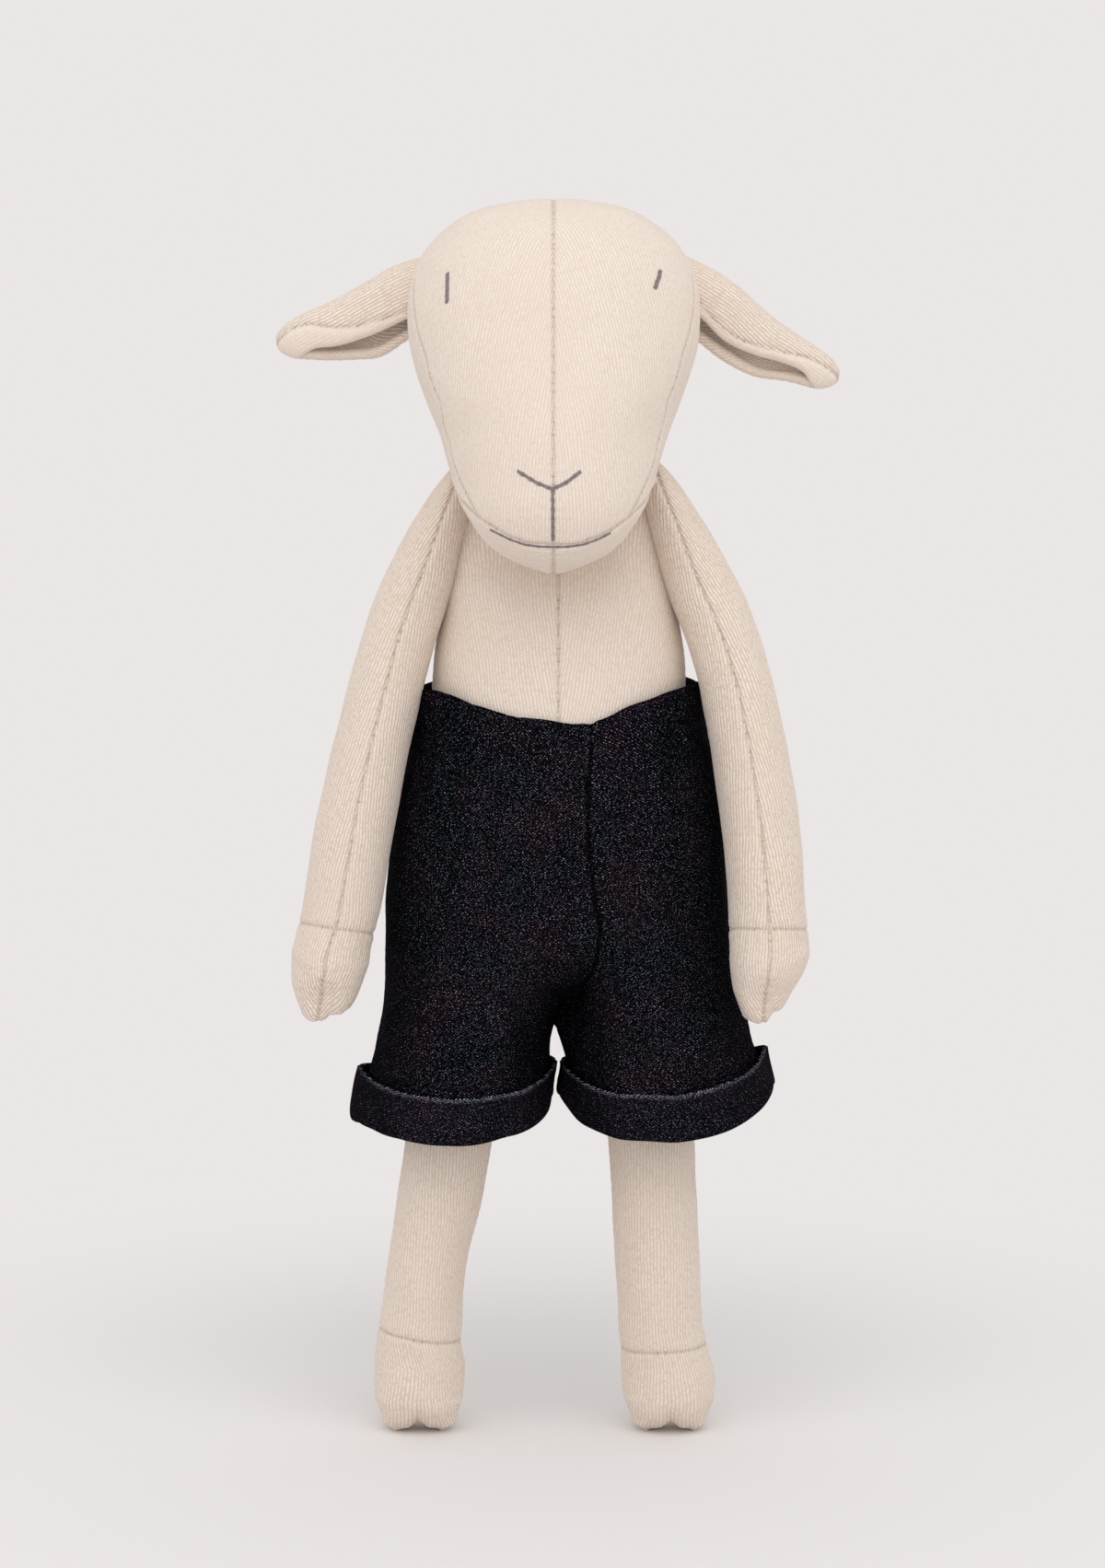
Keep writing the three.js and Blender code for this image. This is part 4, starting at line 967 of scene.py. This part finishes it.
# Both layers of the hems are one sheet: the leg goes down to the fold, and its end comes up outside as the turn-up
def joinTurnUps(shortsCloth, turnUps):
    half = shortsLook["thickness"] / 2
    bm = bmesh.new()
    setCoords(shortsCloth.data, coordsOf(shortsCloth.data) - normalsOf(shortsCloth.data) * half)
    bm.from_mesh(shortsCloth.data)
    panelLayer = bm.faces.layers.int.get("panel")
    waist, *hems = sorted(rimLoops(bm), key=lambda loop: -meanOf(loop, 2))
    for place, turnUp in enumerate(turnUps):
        setCoords(turnUp.data, coordsOf(turnUp.data) - normalsOf(turnUp.data) * half)
        own = set(bm.faces)
        bm.from_mesh(turnUp.data)
        added = set(bm.faces) - own
        for face in added:
            face[panelLayer] += len(shortsNodes) + 2 * place
            face.normal_flip()
        points = {v for face in added for v in face.verts}
        turned = min((loop for loop in rimLoops(bm) if loop[0] in points), key=lambda loop: meanOf(loop, 2))
        hem = min(hems, key=lambda loop: abs(meanOf(loop, 0) - meanOf(turned, 0)))
        pairs = [(v, min(turned, key=lambda t: (t.co - v.co).length)) for v in hem]
        under = [bm.verts.new((v.co + t.co) / 2 - Vector((0, 0, shortsLook["foldDrop"]))) for v, t in pairs]
        for i in range(len(hem)):
            j = (i + 1) % len(hem)
            number = min(f[panelLayer] for f in hem[i].link_faces if f in hem[j].link_faces) + len(shortsNodes)
            for quad in ((hem[i], hem[j], under[j], under[i]), (under[i], under[j], pairs[j][1], pairs[i][1])):
                bm.faces.new(quad)[panelLayer] = number
    # The waist has a facing folded inside: each ring lies some thicknesses inward and some way down
    bm.normal_update()
    inward = {v: Vector((v.normal.x, v.normal.y, 0)).normalized() for v in waist}
    for v in waist:
        v.co += inward[v] * shortsLook["waistLift"]
    rings = [waist]
    for away, down in ((0.75, -0.35 * mm), (1.5, 0.9 * mm), (1.5, shortsLook["facing"])):
        rings.append([
            bm.verts.new(v.co - inward[v] * away * shortsLook["thickness"] - Vector((0, 0, down))) for v in waist
        ])
    for i in range(len(waist)):
        j = (i + 1) % len(waist)
        number = min(f[panelLayer] for f in waist[i].link_faces if f in waist[j].link_faces)
        for upper, lower in zip(rings, rings[1:]):
            bm.faces.new((upper[i], upper[j], lower[j], lower[i]))[panelLayer] = number
    for edge in bm.edges:
        edge.seam = len({face[panelLayer] for face in edge.link_faces}) > 1
    bmesh.ops.recalc_face_normals(bm, faces=bm.faces)
    bm.to_mesh(shortsCloth.data)
    bm.free()
    for turnUp in turnUps:
        bpy.data.objects.remove(turnUp)


# The legs of the garment hang from the pinned waist over the stuffed body and swing free of it
hanging = {
    "cloth": {
        "quality": 8, "mass": 0.25, "tension_stiffness": 25, "compression_stiffness": 25, "shear_stiffness": 8,
        "bending_stiffness": 3, "shrink_min": -0.02,
    },
    "collision": {"distance_min": 0.5 * mm, "collision_quality": 3}, "gravity": 1, "frames": 20,
    "longest": 1.8 * mm, "waist": 7 * mm, "gap": 0.8 * mm, "friction": 12, "near": 6, "blur": 0.4 * mm,
}


def hangShorts(obj, others):
    coords = coordsOf(obj.data)
    waist = pointTree(coords, [i for i in rimOf(obj.data) if coords[i][2] > shortsLook["halfway"]])
    pinned = [i for i, co in enumerate(coords) if waist.find(co)[2] < hanging["waist"]]
    for other in others:
        other.modifiers.new("wall", "COLLISION")
        other.collision.thickness_outer = hanging["gap"]
        other.collision.cloth_friction = hanging["friction"]
    found = simulate(obj, pinned, hanging)
    for other in others:
        other.modifiers.remove(other.modifiers["wall"])
    return found


# Gives a garment the moves of the places near each of its points
def follow(obj, places, moves):
    tree = pointTree(places, range(len(places)))
    coords = coordsOf(obj.data)
    for i, co in enumerate(coords):
        found = tree.find_n(co, hanging["near"])
        weights = np.array([1 / (distance + hanging["blur"]) ** 2 for _, _, distance in found])
        shift = np.array([moves[index] for _, index, _ in found])
        coords[i] += (weights[:, None] * shift).sum(0) / weights.sum()
    setCoords(obj.data, coords)


garment = sewPanels("shorts_cloth", shortsNodes, facesOut, shortsJoins)
turnUps = [sewPanels("turn_up", turnUpNodes[i : i + 2], facesOut, shortsJoins[:2]) for i in (0, 2)]
singleLayer = addObject("hanging_cloth", garment.data.copy())
joinTurnUps(garment, turnUps)
layOut(garment, {})
beside = panelsBeside(garment.data)
for edge in garment.data.edges:
    edge.use_seam = len({number % len(shortsNodes) for number in beside[edge.key]}) > 1
refine(garment, 2)
refine(singleLayer, 2)
follow(garment, *hangShorts(singleLayer, [covers[form] for form in ("torso", "leg_left", "leg_right")]))
bpy.data.objects.remove(singleLayer)
refine(garment, 1, rounds=0)
grab(garment, [
    # The corners of the waist and the dip between them
    ((-46, 20, 284), 36, (-5, 0, -7.5)), ((50, 20, 284), 36, (1.5, 0, -4)), ((36, -28, 274), 26, (0, 0, 1.5)),
    ((14, -30, 268), 20, (0, 0, -2.6)),
    # The corners of the turn-ups
    ((-8, 12, 120), 16, (0.9, 0, 1.5)), ((10, 12, 124), 17, (-2.4, 0, 4)), ((80, 12, 115), 36, (2.6, 0, 4.5)),
    ((-70, 12, 122), 22, (-3.8, 0, 0)), ((-68, 12, 143), 20, (0, 0, 2.5)),
    # The fork, from front to back
    *[((1.5, y, 160), 20, (0, 0, 4.3)) for y in (-22, 0, 22, 44)],
    # The hips, the belly and the folds over the thighs
    ((-58, 12, 215), 60, (-3, 0, 0)), ((62, 12, 232), 44, (2.4, 0, 0)), ((12, -40, 232), 46, (-4, 0, 0)),
    ((32, -31, 174), 26, (0, -2.2, 0)), ((34, -31, 147), 20, (0, 4, 0)), ((-14, -31, 130), 18, (0, 2.6, 0)),
])

# The cloth is rubbed pale at its hems and beside its seams. Painted light makes its specks show more where it faces
# front or back, and painted shade darkens it in its seams.
seamAway, _ = measureSeams(garment)
coords = coordsOf(garment.data)
hems = pointTree(coords, sorted(i for i in rimOf(garment.data) if coords[i][2] < shortsLook["halfway"]))
hemAway = np.array([hems.find(co)[2] / mm for co in coords])
wearAndShade = np.clip(1.4 - hemAway / 1.2, 0, 1) + 0.2 * np.exp(-(((seamAway - 1.2) / 0.6) ** 2))
# Painted light: faces turned front or back get more pale specks, faces turned aside fewer
wearAndShade += 0.6 * np.clip(np.abs(normalsOf(garment.data)[:, 1]) - 0.55, -0.4, 0.4)
# Painted shade: a dark line in the seams' grooves
wearAndShade -= 0.5 * np.exp(-((seamAway / 0.6) ** 2))
setPointValues(garment.data, "wearAndShade", np.clip(wearAndShade, -0.8, 1))
sinkSeams(garment, depth=0.5, width=0.8, pucker=0.06, lumps=0.6, seed=12)

for side in sides:
    half = addObject(f"shorts_{side}_cloth", garment.data.copy())
    bm = bmesh.new()
    bm.from_mesh(half.data)
    panelLayer = bm.faces.layers.int.get("panel")
    other = [f for f in bm.faces if (f[panelLayer] % len(shortsNodes) < 2) != (side == "left")]
    bmesh.ops.delete(bm, geom=other, context="FACES")
    bm.to_mesh(half.data)
    bm.free()
    print("  one layer of", half.name, round(sum(p.area for p in half.data.polygons), 4), "m2")
    half.data.materials.append(denim)
    half.data.materials.append(denimReverse)
    wall = half.modifiers.new("thickness", "SOLIDIFY")
    wall.thickness = shortsLook["thickness"]
    wall.offset = 0
    wall.material_offset = 1
    wall.material_offset_rim = 0
    alone(half)
    bpy.ops.object.modifier_apply(modifier=wall.name)
    half.data.shade_smooth()
    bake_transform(half)
    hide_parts(*[node for node in shortsNodes + turnUpNodes if node.endswith(side)])
bpy.data.objects.remove(garment)
print("shorts done")

# Studio: a pale matt paper table and air, its colour the same where the table ends
studio = {
    "paper": "#eae6e5", "near": 0.16, "far": 0.42, "air": 0.77, "aim": (0, 0, 0.22),
    "lamps": {
        "key": {"at": (0.05, -1.2, 2.0), "size": 1.8, "power": 13},
        "left": {"at": (1.4, -1.2, 1.1), "size": 1.5, "power": 3},
        "right": {"at": (-1.4, -1.2, 1.1), "size": 1.5, "power": 3},
    },
}
floorMesh = bpy.data.meshes.new("floor")
floorMesh.from_pydata([(-6, -3, 0), (6, -3, 0), (6, 9, 0), (-6, 9, 0)], [], [(0, 1, 2, 3)])
floor = addObject("floor", floorMesh)
paper, tree, shader = newMaterial("studio_paper")
plug(shader, {"Base Color": linear(studio["paper"]), "Roughness": 1})
position = addNode(tree, "TexCoord").outputs["Object"]
distance = addNode(tree, "VectorMath", {"operation": "LENGTH"}, i0=position).outputs["Value"]
edge = {"interpolation_type": "SMOOTHSTEP", "From Min": studio["near"], "From Max": studio["far"]}
fade = addNode(tree, "MapRange", edge, Value=distance)
glow = addNode(tree, "Emission", {"Color": linear(studio["paper"])})
direct = addNode(tree, "LightPath").outputs["Is Camera Ray"]
seen = addNode(tree, "Math", {"operation": "MULTIPLY"}, i0=fade, i1=direct)
mixed = addNode(tree, "MixShader", i0=seen, i1=shader, i2=glow)
plug(tree.nodes["Material Output"], Surface=mixed)
floorMesh.materials.append(paper)

world = bpy.data.worlds.new("studio_air")
world.use_nodes = True
scene.world = world
tree = world.node_tree
air = plug(tree.nodes["Background"], {"Color": (1, 1, 1, 1), "Strength": studio["air"]})
backdrop = addNode(tree, "Background", {"Color": linear(studio["paper"])})
direct = addNode(tree, "LightPath").outputs["Is Camera Ray"]
plug(tree.nodes["World Output"], Surface=addNode(tree, "MixShader", i0=direct, i1=air, i2=backdrop))

for name, lamp in studio["lamps"].items():
    light = bpy.data.lights.new(name, "AREA")
    light.shape = "DISK"
    light.size = lamp["size"]
    light.energy = lamp["power"]
    lampObject = addObject(name, light)
    lampObject.location = lamp["at"]
    aimAt(lampObject, studio["aim"])
scene.view_settings.view_transform = "Standard"
